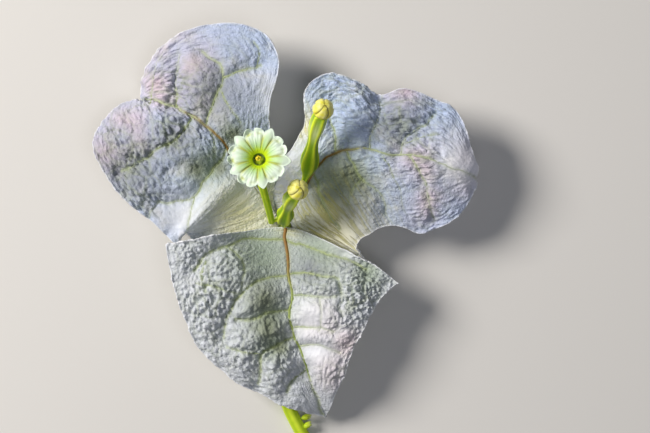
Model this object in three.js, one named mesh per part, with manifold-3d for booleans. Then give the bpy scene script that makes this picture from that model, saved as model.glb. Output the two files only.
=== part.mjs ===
// One picked cyme of a white bougainvillea, lying on its back: three papery bracts round the top
// of a short peduncle, and on each bract's midrib a flower, one open and two in bud.
// Millimetres, +Z up. Shapes are drawn from the point where the bracts meet, and the whole
// group is then shifted so that the origin is the middle of its footprint.

import * as THREE from 'three';
import { mergeVertices } from 'three/addons/utils/BufferGeometryUtils.js';
import Module from 'manifold-3d';

// Where the middle of the footprint lies, from the point where the bracts meet
const FOOTPRINT_MIDDLE = [0.4, -1.7];

// Bract blades
const BLADE_THICKNESS = 0.6;
const BLADE_ROWS = 28;
const HALF_COLUMNS = 17;
const BASE_EDGE_FADE = 5;
const NORMAL_STEP = 0.004;

// Relief of a blade: tissue swells between the veins and rises from the midrib's channel, and
// finer puckers cross it. It fades towards the blade's tip and its smooth base.
const SWELL_REACH = 1.7;
const CHANNEL_REACH = 4.3;
const PUCKER_HEIGHT = 0.12;
const PUCKER_PITCH_X = 3.7;
const PUCKER_PITCH_Y = 3.1;
const PUCKER_SKEW_X = 0.4;
const PUCKER_SKEW_Y = 0.3;
const TIP_FADE = 6;
const SMOOTH_BASE_RADIUS = 9;
const SMOOTH_BASE_POWER = 4;

// Open flower. Five narrow keeled lobes of the limb stand between five wide ones, which end in
// two scallops each. Reaches are shares of the limb's radius, and widths shares of half a lobe.
const LIMB_RADIUS = 5.0;
const THROAT_RADIUS = 0.95;
const LIMB_THICKNESS = 0.6;
const LIMB_LOBES = 5;
const LOBE_PITCH = (2 * Math.PI) / LIMB_LOBES;
const LOBE_TURN = THREE.MathUtils.degToRad(65);
const FOLD_ANGLE = THREE.MathUtils.degToRad(12.5);
const FOLD_WIDTH = THREE.MathUtils.degToRad(4);
const FOLD_DEPTH = 0.25;
const KEEL_HEIGHT = 0.3;
const NARROW_REACH = 1.02;
const NARROW_ROUNDING = 0.17;
const WIDE_REACH = 0.95;
const WIDE_ROUNDING = 0.1;
const SCALLOP_NOTCH = 0.07;
const SCALLOP_NOTCH_WIDTH = 0.13;
const FUNNEL_DEPTH = 1.5;
const TIP_DROOP = 0.7;
const LIMB_RINGS = 6;
const SECTORS_PER_LOBE = 14;
const LIMB_CENTRE = [-3.75, 11.95, 19.6];
const LIMB_AXIS = [-0.1, 0.2, 1];
const ANTHER_RADII = [0.36, 0.36, 0.5];
const ANTHER_SEGMENTS = 8;
const ANTHER_DEPTH = 0.45;
const ANTHER_COUNT = 4;
const ANTHER_RING = 0.22;

// Tubes and buds
const TUBE_SIDES = 12;
const BUD_RIBS = 5;
const BUD_SIDES = 20;
const BODY_ROWS = 18;
const KNOB_ROWS = 8;
const RIB_HEIGHT = 0.09;
const CREASE_DEPTH = 0.13;
const CREASE_SHARPNESS = 4;

// Peduncle
const PEDUNCLE_RADIUS = 1.1;
const PEDUNCLE_SIDES = 12;
const PEDUNCLE_STEPS = 20;
const SWELLING_SEGMENTS = 10;

// A block under the surface that the cyme lies on, and how near points are merged
const SURFACE_BLOCK_WIDTH = 200;
const SURFACE_BLOCK_DEPTH = 10;
const MERGE_TOLERANCE = 1e-4;

const PAPER = { color: 0xd8d7e4, roughness: 0.7 };
const GREEN = { color: 0x86b817, roughness: 0.45 };
const WAX = { color: 0xe6f0cf, roughness: 0.55 };
const YELLOW = { color: 0xe2d21c, roughness: 0.55 };

// Stations of each bract from its base to its tip: a point on the midrib, and where the tissue
// that leaves the midrib there reaches the left and the right margin, looking from base to tip.
// The tissue swells by the swell between the veins and by the channel away from the midrib, and
// each fold is a ridge, or a furrow where its height is negative, along its line in plan.
const LEFT_BRACT = {
  stations: [
    { mid: [-0.5, 1.0, 4.3], left: [-15.3, -2.0, 3.2], right: [-1.6, 3.4, 4.9] },
    { mid: [-2.6, 4.2, 5.6], left: [-16.3, -0.8, 3.9], right: [-1.1, 5.6, 5.5] },
    { mid: [-4.9, 7.4, 7.0], left: [-17.0, -0.6, 5.4], right: [-0.7, 8.7, 6.3] },
    { mid: [-7.4, 10.7, 8.2], left: [-18.0, -2.3, 6.4], right: [-1.7, 13.4, 7.6] },
    { mid: [-10.2, 14.4, 9.2], left: [-21.6, 0.9, 7.8], right: [-2.4, 20.0, 9.0] },
    { mid: [-13.0, 17.0, 9.7], left: [-25.6, 4.0, 8.2], right: [-0.7, 28.0, 9.4] },
    { mid: [-15.5, 19.0, 9.6], left: [-29.3, 8.5, 8.0], right: [-3.5, 32.7, 9.0] },
    { mid: [-18.0, 20.2, 9.0], left: [-31.7, 13.8, 7.0], right: [-11.4, 34.1, 8.0] },
    { mid: [-20.6, 21.1, 7.6], left: [-30.3, 17.8, 5.4], right: [-19.5, 30.9, 6.4] },
    { mid: [-23.0, 21.5, 5.0], left: [-26.3, 20.8, 3.6], right: [-23.8, 24.6, 4.6] },
  ],
  tip: [-23.9, 20.9, -0.4],
  leftBase: [
    [-0.5, 1.0, 4.3], [-1.7, -0.6, 4.0], [-3.7, -1.3, 3.8],
    [-8.1, -2.2, 3.3], [-12.4, -2.4, 3.1], [-15.3, -2.0, 3.2],
  ],
  rightBase: [[-0.5, 1.0, 4.3], [-1.6, 3.4, 4.9]],
  veins: [
    [[-12.9, 17.2], [-11.4, 21.4], [-10.0, 24.9], [-10.7, 27.4], [-13.7, 29.4]],
    [[-10.0, 24.9], [-7.2, 26.1], [-3.5, 27.2]],
    [[-15.1, 18.6], [-17.9, 14.6], [-20.6, 13.2], [-23.7, 11.2], [-26.9, 9.7]],
    [[-9.2, 13.4], [-12.7, 8.4], [-15.1, 5.2], [-17.9, 4.5], [-20.9, 4.4]],
    [[-17.7, 20.1], [-17.6, 23.1], [-17.7, 25.9], [-17.6, 28.9]],
  ],
  swell: 0.9,
  channel: 0.6,
  folds: [
    { height: 0.9, width: 1.5, line: [[-16.0, -0.5], [-12.1, 4.2], [-8.5, 7.0]] },
    { height: -0.8, width: 1.6, line: [[-18.5, 9.9], [-13.0, 10.2], [-8.0, 9.6]] },
    { height: -0.5, width: 1.3, line: [[-11.0, 15.2], [-6.0, 15.0]] },
    { height: -0.5, width: 0.8, line: [[-18.3, 25.6], [-18.3, 20.6]] },
    { height: -0.35, width: 0.7, line: [[-21.3, 23.6], [-21.3, 21.6]] },
  ],
};

const RIGHT_BRACT = {
  stations: [
    { mid: [0.9, 1.5, 4.1], left: [-1.5, 2.5, 3.5], right: [13.9, -5.5, 4.8] },
    { mid: [2.1, 4.6, 5.0], left: [-2.7, 5.2, 3.9], right: [13.0, -4.3, 5.4] },
    { mid: [3.3, 6.9, 5.9], left: [-2.0, 9.5, 4.7], right: [12.3, -3.2, 6.2] },
    { mid: [4.6, 9.1, 6.8], left: [1.8, 13.8, 6.0], right: [13.0, -1.8, 6.8] },
    { mid: [6.5, 11.1, 7.8], left: [3.8, 18.8, 7.4], right: [14.5, -1.0, 7.2] },
    { mid: [8.8, 12.4, 8.8], left: [4.0, 23.4, 8.2], right: [16.0, 0.0, 7.4] },
    { mid: [11.5, 13.0, 9.6], left: [7.3, 25.8, 8.0], right: [17.8, 0.4, 7.2] },
    { mid: [14.5, 13.0, 10.1], left: [12.1, 24.6, 8.4], right: [20.0, 0.2, 6.9] },
    { mid: [17.4, 12.3, 10.2], left: [16.0, 22.3, 7.8], right: [22.6, -0.8, 6.4] },
    { mid: [20.3, 11.9, 10.5], left: [20.3, 23.2, 8.8], right: [25.5, -0.1, 6.8] },
    { mid: [23.1, 11.4, 10.7], left: [24.8, 21.7, 8.8], right: [28.4, 1.4, 7.2] },
    { mid: [26.1, 10.7, 10.6], left: [28.7, 19.6, 8.6], right: [30.4, 3.6, 7.0] },
    { mid: [29.1, 9.7, 10.2], left: [31.0, 14.7, 8.6], right: [31.6, 5.9, 6.6] },
    { mid: [31.2, 8.8, 8.4], left: [32.0, 10.6, 7.2], right: [32.4, 7.4, 5.8] },
  ],
  tip: [32.3, 8.0, -0.5],
  leftBase: [[0.9, 1.5, 4.1], [-1.5, 2.5, 3.5]],
  rightBase: [
    [0.9, 1.5, 4.1], [1.9, -0.2, 4.1], [3.4, -1.1, 4.2],
    [7.0, -2.7, 4.1], [10.5, -3.9, 4.3], [13.9, -5.5, 4.8],
  ],
  veins: [
    [[10.8, 12.9], [12.8, 8.7], [16.0, 5.7], [16.8, 4.0], [17.1, 2.2]],
    [[9.0, 12.4], [8.5, 16.1], [8.0, 18.2], [8.0, 20.9]],
    [[14.6, 13.1], [14.8, 16.4], [16.1, 19.1], [16.1, 21.4]],
    [[19.3, 12.0], [20.5, 15.2], [23.7, 17.1], [25.0, 19.4]],
    [[20.7, 11.7], [22.8, 9.4], [24.2, 6.4], [24.7, 3.5], [25.2, 1.4]],
    [[5.0, 9.2], [6.0, 6.4], [7.3, 3.0], [9.5, -0.3]],
  ],
  swell: 0.8,
  channel: 0.5,
  folds: [
    { height: 0.8, width: 1.5, line: [[21.3, 11.0], [24.0, 8.5], [24.4, 6.2], [24.4, 3.0]] },
    { height: -0.5, width: 1.6, line: [[19.0, 16.5], [23.5, 14.5]] },
  ],
};

const LOWER_BRACT = {
  stations: [
    { mid: [0.1, 0.2, 5.3], left: [19.2, -9.2, 7.4], right: [-19.5, -2.6, 10.0] },
    { mid: [0.1, -1.8, 5.9], left: [17.8, -10.2, 7.8], right: [-18.8, -6.6, 9.8] },
    { mid: [0.4, -5.0, 6.7], left: [16.5, -11.5, 8.0], right: [-17.7, -11.0, 9.2] },
    { mid: [0.8, -8.1, 7.4], left: [15.3, -13.2, 8.0], right: [-16.2, -15.3, 8.6] },
    { mid: [1.1, -11.0, 7.8], left: [14.3, -15.0, 7.8], right: [-14.3, -19.5, 7.9] },
    { mid: [1.1, -13.8, 8.0], left: [13.2, -17.2, 7.4], right: [-11.3, -22.8, 7.1] },
    { mid: [1.5, -16.2, 8.0], left: [12.0, -19.2, 7.0], right: [-8.0, -25.5, 6.4] },
    { mid: [2.1, -18.7, 7.7], left: [11.2, -21.6, 6.4], right: [-4.5, -27.4, 5.7] },
    { mid: [3.1, -21.7, 7.1], left: [10.3, -24.0, 5.8], right: [-1.3, -29.1, 5.2] },
    { mid: [4.5, -25.7, 6.0], left: [8.8, -27.6, 4.8], right: [2.6, -30.5, 4.4] },
  ],
  tip: [7.0, -31.9, 2.6],
  leftBase: [
    [0.1, 0.2, 5.3], [2.8, -0.3, 5.6], [6.5, -1.8, 6.2],
    [11.2, -4.0, 6.8], [15.2, -6.0, 7.2], [19.2, -9.2, 7.4],
  ],
  rightBase: [
    [0.1, 0.2, 5.3], [-3.6, -0.1, 5.8], [-7.3, -0.6, 6.9],
    [-11.4, -1.0, 8.2], [-15.5, -2.0, 9.4], [-19.5, -2.6, 10.0],
  ],
  veins: [
    [[0.1, -1.8], [-3.5, -1.8], [-6.2, -1.8], [-9.9, -3.1], [-13.4, -5.0], [-14.7, -7.0]],
    [[0.8, -8.1], [-3.2, -8.6], [-6.7, -10.3], [-8.5, -13.3], [-9.4, -15.3], [-10.0, -18.3]],
    [[1.1, -13.8], [-2.7, -14.3], [-5.2, -15.3], [-7.9, -15.3]],
    [[1.8, -17.8], [-1.7, -19.7], [-3.7, -21.0], [-4.0, -23.8], [-4.4, -26.0]],
    [[3.8, -23.8], [2.0, -25.0], [0.5, -27.2]],
    [[0.8, -8.1], [3.5, -7.6], [6.1, -7.8], [8.8, -8.1], [9.6, -10.3], [9.8, -12.3]],
    [[1.1, -11.3], [5.0, -11.3], [7.5, -11.6], [9.1, -11.3]],
    [[1.6, -16.6], [5.0, -16.3], [8.1, -17.3]],
    [[2.5, -19.7], [6.3, -19.7], [9.5, -20.7]],
    [[0.1, -1.8], [3.3, -3.1], [6.5, -3.8], [10.5, -5.1], [13.8, -6.6]],
  ],
  swell: 1.0,
  channel: 2.8,
  folds: [
    { height: -0.4, width: 1.2, line: [[9.5, -4.6], [14.5, -7.2], [17.5, -8.8]] },
  ],
};

// Middle lines of the tubes and buds, from where they leave their bract's midrib
const FLOWER_TUBE_PATH = [
  [-1.4, 1.0, 5.4], [-1.9, 3.2, 8.2], [-2.6, 5.4, 10.8], [-3.2, 7.8, 13.0],
  [-3.6, 9.9, 14.6], [-3.65, 11.1, 16.0], [-3.6, 11.5, 17.25],
];
const FLOWER_TUBE_RADII = [0.5, 0.58, 0.56, 0.6, 0.85, 0.9];
const UPPER_BUD_PATH = [
  [3.1, 7.1, 6.9], [3.9, 8.6, 8.2], [4.4, 11.3, 10.4],
  [5.1, 14.9, 13.0], [5.8, 17.3, 14.8], [6.2, 18.4, 15.5],
];
const UPPER_BUD_RADII = [0.5, 0.62, 1.3, 1.5, 1.42, 1.05, 0.85, 0.95, 1.4, 1.5, 1.3];
const UPPER_KNOB_PATH = [[6.35, 18.8, 15.6], [6.7, 19.6, 16.9], [6.9, 20.2, 18.3]];
const LOWER_BUD_PATH = [
  [0.1, 0.5, 6.05], [0.2, 1.5, 8.0], [0.6, 3.0, 11.2], [1.4, 4.7, 13.8], [1.9, 5.5, 14.9],
];
const LOWER_BUD_RADII = [0.5, 0.65, 1.25, 1.4, 1.3, 1.0, 0.9, 1.2, 1.35, 1.2];
const LOWER_KNOB_PATH = [[2.15, 5.9, 15.1], [2.6, 6.4, 16.5], [2.9, 6.75, 17.9]];
const KNOB_RADII = [1.15, 1.5, 1.62, 1.55, 1.25, 0.7];
const PEDUNCLE_PATH = [
  [0.0, 1.2, 1.9], [-0.1, -2.0, 1.9], [-0.5, -10.5, 1.7], [-0.5, -19.0, 1.3],
  [-0.2, -25.8, 1.15], [0.7, -30.0, 1.1], [2.2, -33.2, 1.1], [4.4, -37.1, 1.1],
];
// The swollen top of the peduncle, and the short claw that the lower bract stands on
const RECEPTACLE = { centre: [0.1, 1.1, 2.15], radii: [1.3, 1.3, 1.7] };
const LOWER_CLAW = { centre: [0.15, 0.35, 3.4], radii: [0.45, 0.45, 1.3] };
const AXILLARY_BUDS = [
  { centre: [3.35, -32.7, 1.9], radii: [0.62, 0.8, 0.6] },
  { centre: [3.95, -34.1, 1.8], radii: [0.62, 0.75, 0.6] },
];

function toVectors(points) {
  return points.map((point) => new THREE.Vector3(...point));
}

function smoothCurve(points) {
  return new THREE.CatmullRomCurve3(toVectors(points));
}

// How far a point in plan is from the nearest stretch of any of the given lines
function distanceToLines(x, y, lines) {
  let nearest = Infinity;
  for (const line of lines) {
    for (let i = 0; i + 1 < line.length; i += 1) {
      const [ax, ay] = line[i];
      const [bx, by] = line[i + 1];
      const dx = bx - ax;
      const dy = by - ay;
      const along = ((x - ax) * dx + (y - ay) * dy) / (dx * dx + dy * dy);
      const t = Math.min(1, Math.max(0, along));
      nearest = Math.min(nearest, Math.hypot(x - ax - t * dx, y - ay - t * dy));
    }
  }
  return nearest;
}

function bell(distance, width) {
  return Math.exp(-((distance / width) ** 2));
}

// Middle surface of a bract: u runs from base to tip, and side from -1, the left margin,
// through 0, the midrib, to 1, the right margin
function bractSurface(bract) {
  const line = (key) => smoothCurve([...bract.stations.map((station) => station[key]), bract.tip]);
  const mid = line('mid');
  const margins = { left: line('left'), right: line('right') };
  const bases = { left: smoothCurve(bract.leftBase), right: smoothCurve(bract.rightBase) };
  const midrib = bract.stations.map((station) => station.mid);

  function relief(x, y, v) {
    const swell = 1 - bell(distanceToLines(x, y, bract.veins), SWELL_REACH);
    const channel = (1 - bell(distanceToLines(x, y, [midrib]), CHANNEL_REACH)) * (1 - v * v);
    const turnX = (2 * Math.PI * (x + PUCKER_SKEW_X * y)) / PUCKER_PITCH_X;
    const turnY = (2 * Math.PI * (y - PUCKER_SKEW_Y * x)) / PUCKER_PITCH_Y;
    const pucker = PUCKER_HEIGHT * Math.sin(turnX) * Math.sin(turnY);
    let height = swell * (bract.swell + pucker) + channel * bract.channel;
    for (const fold of bract.folds) {
      height += fold.height * bell(distanceToLines(x, y, [fold.line]), fold.width);
    }
    const fromBase = Math.hypot(x, y) / SMOOTH_BASE_RADIUS;
    return height * (1 - Math.exp(-(fromBase ** SMOOTH_BASE_POWER)));
  }

  return function pointAt(u, side) {
    const key = side < 0 ? 'left' : 'right';
    const v = Math.abs(side);
    const start = mid.getPoint(0).lerp(margins[key].getPoint(0), v);
    const bow = bases[key].getPoint(v).sub(start);
    const point = mid.getPoint(u).lerp(margins[key].getPoint(u), v);
    point.addScaledVector(bow, (1 - u) ** BASE_EDGE_FADE);
    const fade = Math.min(1, (1 - u) * TIP_FADE);
    point.z += fade * relief(point.x, point.y, v);
    return point;
  };
}

function normalAt(pointAt, u, side) {
  const u0 = Math.max(0, u - NORMAL_STEP);
  const u1 = Math.min(1 - NORMAL_STEP, u0 + 2 * NORMAL_STEP);
  const s0 = Math.max(-1, side - NORMAL_STEP);
  const s1 = Math.min(1, side + NORMAL_STEP);
  const across = pointAt(u1, s1).sub(pointAt(u1, s0));
  const along = pointAt(u1, side).sub(pointAt(u0, side));
  return across.cross(along).normalize();
}

// A blade as one closed shell. Both faces are split into triangles alike, and meet at the tip.
function bractGeometry(bract) {
  const pointAt = bractSurface(bract);
  const across = 2 * HALF_COLUMNS + 1;
  const faces = { top: [], bottom: [] };

  function addVertex(u, side, normal) {
    const middle = pointAt(u, side);
    const top = middle.clone().addScaledVector(normal, BLADE_THICKNESS / 2);
    const bottom = middle.clone().addScaledVector(normal, -BLADE_THICKNESS / 2);
    faces.top.push(top);
    faces.bottom.push(bottom);
  }

  for (let row = 0; row < BLADE_ROWS; row += 1) {
    for (let column = 0; column < across; column += 1) {
      const u = row / BLADE_ROWS;
      const side = column / HALF_COLUMNS - 1;
      addVertex(u, side, normalAt(pointAt, u, side));
    }
  }
  addVertex(1, 0, normalAt(pointAt, 1 - 1 / BLADE_ROWS, 0));

  const below = faces.top.length;
  const tip = below - 1;
  const triangles = [];
  const quad = (a, b, c, d) => triangles.push(a, b, c, a, c, d);
  const skin = (a, b, c) => triangles.push(a, b, c, a + below, c + below, b + below);
  const rim = (a, b) => quad(a, a + below, b + below, b);

  for (let row = 0; row < BLADE_ROWS; row += 1) {
    const here = row * across;
    const last = row === BLADE_ROWS - 1;
    for (let column = 0; column + 1 < across; column += 1) {
      const a = here + column;
      if (last) {
        skin(a, a + 1, tip);
      } else {
        skin(a, a + 1, a + across + 1);
        skin(a, a + across + 1, a + across);
      }
      if (row === 0) rim(a, a + 1);
    }
    rim(last ? tip : here + across, here);
    rim(here + across - 1, last ? tip : here + 2 * across - 1);
  }
  return closedGeometry([...faces.top, ...faces.bottom], triangles);
}

function closedGeometry(vertices, triangles) {
  const geometry = new THREE.BufferGeometry().setFromPoints(vertices);
  geometry.setIndex(triangles);
  return geometry;
}

// How far the limb reaches at an angle, as a share of its radius, and how high it stands there
function limbSection(angle) {
  const turned = THREE.MathUtils.euclideanModulo(angle - LOBE_TURN + LOBE_PITCH / 2, LOBE_PITCH);
  const away = Math.abs(turned - LOBE_PITCH / 2);
  const fold = -FOLD_DEPTH * bell(away - FOLD_ANGLE, FOLD_WIDTH);
  if (away < FOLD_ANGLE) {
    const across = away / FOLD_ANGLE;
    const reach = NARROW_REACH - NARROW_ROUNDING * across ** 2;
    return { reach, height: fold + KEEL_HEIGHT * (1 - across ** 2) };
  }
  const fromMiddle = (LOBE_PITCH / 2 - away) / (LOBE_PITCH / 2 - FOLD_ANGLE);
  const notch = SCALLOP_NOTCH * bell(fromMiddle, SCALLOP_NOTCH_WIDTH);
  return { reach: WIDE_REACH - notch - WIDE_ROUNDING * fromMiddle ** 6, height: fold };
}

// The spread limb of the open flower: its lobes round a throat, as one closed ring
function limbGeometry() {
  const sectors = LIMB_LOBES * SECTORS_PER_LOBE;
  const vertices = [];
  for (const offset of [LIMB_THICKNESS / 2, -LIMB_THICKNESS / 2]) {
    for (let ring = 0; ring <= LIMB_RINGS; ring += 1) {
      for (let sector = 0; sector < sectors; sector += 1) {
        const angle = (sector / sectors) * 2 * Math.PI;
        const section = limbSection(angle);
        const spread = ring / LIMB_RINGS;
        const radius = THROAT_RADIUS + spread * (LIMB_RADIUS * section.reach - THROAT_RADIUS);
        const funnel = -FUNNEL_DEPTH * (1 - spread) ** 3;
        const droop = -TIP_DROOP * spread ** 3;
        const height = funnel + droop + Math.sin(Math.PI * spread) * section.height + offset;
        vertices.push(new THREE.Vector3(radius * Math.cos(angle), radius * Math.sin(angle), height));
      }
    }
  }
  const below = vertices.length / 2;
  const triangles = [];
  for (let sector = 0; sector < sectors; sector += 1) {
    const next = (sector + 1) % sectors;
    for (let ring = 0; ring < LIMB_RINGS; ring += 1) {
      const a = ring * sectors + sector;
      const b = (ring + 1) * sectors + sector;
      const c = (ring + 1) * sectors + next;
      const d = ring * sectors + next;
      triangles.push(a, b, c, a, c, d);
      triangles.push(a + below, c + below, b + below, a + below, d + below, c + below);
    }
    const outer = LIMB_RINGS * sectors;
    const rims = [[next, sector], [outer + sector, outer + next]];
    for (const [a, b] of rims) {
      triangles.push(a, a + below, b + below, a, b + below, b);
    }
  }
  return closedGeometry(vertices, triangles);
}

// A turned profile of the given radii, bent along a path; the factor shapes its cross-section
function bentTurning(path, radii, sides, sectionFactor) {
  const rows = radii.length - 1;
  const profile = [new THREE.Vector2(0, 0)];
  radii.forEach((radius, row) => profile.push(new THREE.Vector2(radius, row / rows)));
  profile.push(new THREE.Vector2(0, 1));
  const geometry = new THREE.LatheGeometry(profile, sides);
  const curve = smoothCurve(path);
  const reference = new THREE.Vector3(1, 0, 0);
  const position = geometry.getAttribute('position');
  for (let i = 0; i < position.count; i += 1) {
    const x = position.getX(i);
    const t = position.getY(i);
    const z = position.getZ(i);
    const tangent = curve.getTangentAt(t);
    const up = reference.clone().cross(tangent).normalize();
    const right = tangent.clone().cross(up).normalize();
    const factor = sectionFactor(Math.atan2(z, x));
    const place = curve.getPointAt(t);
    place.addScaledVector(right, x * factor).addScaledVector(up, z * factor);
    position.setXYZ(i, place.x, place.y, place.z);
  }
  return geometry;
}

function smoothRadii(radii, count) {
  const points = radii.map((radius, i) => new THREE.Vector3(i, radius, 0));
  const curve = new THREE.CatmullRomCurve3(points);
  return Array.from({ length: count }, (_, i) => curve.getPoint(i / (count - 1)).y);
}

const roundSection = () => 1;
const ribbedSection = (angle) => 1 + RIB_HEIGHT * Math.cos(BUD_RIBS * angle);
const creasedSection = (angle) => {
  const crease = Math.abs(Math.sin((BUD_RIBS * angle) / 2)) ** CREASE_SHARPNESS;
  return 1 - CREASE_DEPTH * crease;
};

// Boolean joins of closed geometries
const wasm = await Module();
wasm.setup();

function toSolid(geometry) {
  const bare = geometry.clone();
  bare.deleteAttribute('normal');
  bare.deleteAttribute('uv');
  const merged = mergeVertices(bare, MERGE_TOLERANCE);
  const vertProperties = new Float32Array(merged.getAttribute('position').array);
  const triVerts = new Uint32Array(merged.index.array);
  return new wasm.Manifold(new wasm.Mesh({ numProp: 3, vertProperties, triVerts }));
}

function fromSolid(solid) {
  const mesh = solid.getMesh();
  const geometry = new THREE.BufferGeometry();
  geometry.setAttribute('position', new THREE.BufferAttribute(mesh.vertProperties, 3));
  geometry.setIndex(new THREE.BufferAttribute(mesh.triVerts, 1));
  return geometry;
}

function joined(geometries) {
  return fromSolid(geometries.map(toSolid).reduce((whole, piece) => whole.add(piece)));
}

// Takes off what would reach below the surface that the cyme lies on, which leaves a flat spot
function restedOnSurface(geometry) {
  const below = new THREE.BoxGeometry(SURFACE_BLOCK_WIDTH, SURFACE_BLOCK_WIDTH, SURFACE_BLOCK_DEPTH);
  below.translate(0, 0, -SURFACE_BLOCK_DEPTH / 2);
  return fromSolid(toSolid(geometry).subtract(toSolid(below)));
}

function ellipsoid({ centre, radii }, segments) {
  const geometry = new THREE.SphereGeometry(1, segments, segments / 2);
  geometry.scale(...radii);
  geometry.translate(...centre);
  return geometry;
}

function peduncleGeometry() {
  const section = new THREE.Shape();
  section.absarc(0, 0, PEDUNCLE_RADIUS, 0, 2 * Math.PI);
  const stalk = new THREE.ExtrudeGeometry(section, {
    curveSegments: PEDUNCLE_SIDES / 2,
    steps: PEDUNCLE_STEPS,
    extrudePath: smoothCurve(PEDUNCLE_PATH),
  });
  const swellings = [RECEPTACLE, LOWER_CLAW, ...AXILLARY_BUDS];
  return joined([stalk, ...swellings.map((swelling) => ellipsoid(swelling, SWELLING_SEGMENTS))]);
}

function antherGeometry() {
  const anthers = [];
  for (let i = 0; i < ANTHER_COUNT; i += 1) {
    const angle = (i / ANTHER_COUNT) * 2 * Math.PI;
    const centre = [ANTHER_RING * Math.cos(angle), ANTHER_RING * Math.sin(angle), 0];
    anthers.push(ellipsoid({ centre, radii: ANTHER_RADII }, ANTHER_SEGMENTS));
  }
  return joined(anthers);
}

function named(name, geometry, look) {
  const material = new THREE.MeshStandardMaterial({ ...look, metalness: 0 });
  const mesh = new THREE.Mesh(geometry, material);
  mesh.name = name;
  return mesh;
}

const cyme = new THREE.Group();
cyme.position.set(-FOOTPRINT_MIDDLE[0], -FOOTPRINT_MIDDLE[1], 0);

const bracts = { bract_left: LEFT_BRACT, bract_right: RIGHT_BRACT, bract_lower: LOWER_BRACT };
for (const [name, bract] of Object.entries(bracts)) {
  cyme.add(named(name, restedOnSurface(bractGeometry(bract)), PAPER));
}
cyme.add(named('peduncle', peduncleGeometry(), GREEN));

const tubeRadii = smoothRadii(FLOWER_TUBE_RADII, BODY_ROWS);
const tubeGeometry = bentTurning(FLOWER_TUBE_PATH, tubeRadii, TUBE_SIDES, roundSection);
cyme.add(named('flower_tube', tubeGeometry, GREEN));

const flowerHead = new THREE.Group();
flowerHead.position.set(...LIMB_CENTRE);
const axis = new THREE.Vector3(...LIMB_AXIS).normalize();
flowerHead.quaternion.setFromUnitVectors(new THREE.Vector3(0, 0, 1), axis);
flowerHead.add(named('flower_limb', limbGeometry(), WAX));
const anthers = named('flower_anthers', antherGeometry(), YELLOW);
anthers.position.z = -ANTHER_DEPTH;
flowerHead.add(anthers);
cyme.add(flowerHead);

const buds = [
  { name: 'upper_bud', path: UPPER_BUD_PATH, radii: UPPER_BUD_RADII, knob: UPPER_KNOB_PATH },
  { name: 'lower_bud', path: LOWER_BUD_PATH, radii: LOWER_BUD_RADII, knob: LOWER_KNOB_PATH },
];
for (const bud of buds) {
  const radii = smoothRadii(bud.radii, BODY_ROWS);
  const knobRadii = smoothRadii(KNOB_RADII, KNOB_ROWS);
  const tube = bentTurning(bud.path, radii, BUD_SIDES, ribbedSection);
  const knob = bentTurning(bud.knob, knobRadii, BUD_SIDES, creasedSection);
  cyme.add(named(`${bud.name}_tube`, tube, GREEN));
  cyme.add(named(`${bud.name}_knob`, knob, YELLOW));
}

export default cyme;
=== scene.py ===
"""One picked cyme of a white bougainvillea, lying on its back on a pale surface.

Three papery bracts stand round the top of a short peduncle, with one open flower and two buds on
their midribs. Shapes are drawn in millimetres from the junction, the point where the bracts meet,
and each finished piece is then moved into the frame, in metres.
"""

import math

import bmesh
import bpy
import numpy as np
from bpy.props import FloatProperty, FloatVectorProperty, IntProperty, PointerProperty
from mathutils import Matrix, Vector
from mathutils.bvhtree import BVHTree


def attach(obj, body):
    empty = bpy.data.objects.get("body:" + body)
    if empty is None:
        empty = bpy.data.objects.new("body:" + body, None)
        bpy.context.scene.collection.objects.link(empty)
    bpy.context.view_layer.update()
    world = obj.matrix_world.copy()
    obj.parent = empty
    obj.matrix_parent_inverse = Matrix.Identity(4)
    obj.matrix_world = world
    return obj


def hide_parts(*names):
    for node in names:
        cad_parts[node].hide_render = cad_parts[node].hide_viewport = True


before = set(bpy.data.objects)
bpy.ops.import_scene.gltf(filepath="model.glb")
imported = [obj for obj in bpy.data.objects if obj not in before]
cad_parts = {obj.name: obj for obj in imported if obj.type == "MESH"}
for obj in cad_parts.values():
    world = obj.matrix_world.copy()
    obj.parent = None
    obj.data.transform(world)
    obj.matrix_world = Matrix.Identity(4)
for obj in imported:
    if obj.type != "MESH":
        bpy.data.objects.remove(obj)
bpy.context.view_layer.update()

bl_info = {
    "name": "Bougainvillea cyme",
    "version": (1, 0, 0),
    "blender": (4, 5, 0),
    "location": "3D View > Sidebar > Bougainvillea",
    "description": "Builds a picked cyme of a white bougainvillea on a pale surface",
    "category": "Add Mesh",
}

MM = 0.001
FULL_TURN = 2 * math.pi
JUNCTION = Vector((-0.4, 1.7, 0.0))
CURVE_SAMPLES = 400
MERGE_DISTANCE = 0.0005
FLOOR_GAP = 0.02
ABOVE_ALL = 60.0

# Relief that the blades share with the frame's solids
BASE_EDGE_FADE = 5
TIP_FADE_ROWS = 6
SWELL_REACH = 1.7
CHANNEL_REACH = 4.3
SMOOTH_BASE_RADIUS = 9.0

# Fine relief of the blades. A layer of noise has a height, a pitch and what the seed grows by. A
# net has a pitch and the width of its furrows, both in pitches of the main net, the height of its
# crowns, in pillow heights as the crumple's is, and what the seed grows by.
BASE_CROWDING = 0.35
MARGIN_CROWDING = 0.45
WARP_X = ((0.5, 1.5, 1), (0.7, 3.7, 12))
WARP_Y = ((0.5, 1.5, 2), (0.7, 3.7, 13))
NETS = {"main": (1.0, 0.36, 0.55, 0), "small": (0.5, 0.16, 0.4, 3), "wide": (2.2, 0.6, 0.3, 14)}
LIVELINESS = ((0.4, 4.0, 4),)
UNEVENNESS = ((0.5, 1.2, 11),)
CRUMPLE = ((0.5, 0.35, 6),)
CRUMPLE_HEIGHT = 0.55
WRINKLE_SHARE = 0.45
WRINKLE_SHARPNESS = 2.4
WRINKLE_PITCH = 0.75
BULLATE_GAIN = 0.6
CALMING = 0.8
STREAKS_ALONG = 60.0
STREAKS_ACROSS = 3.0
BASE_STREAKS = 0.04
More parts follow.
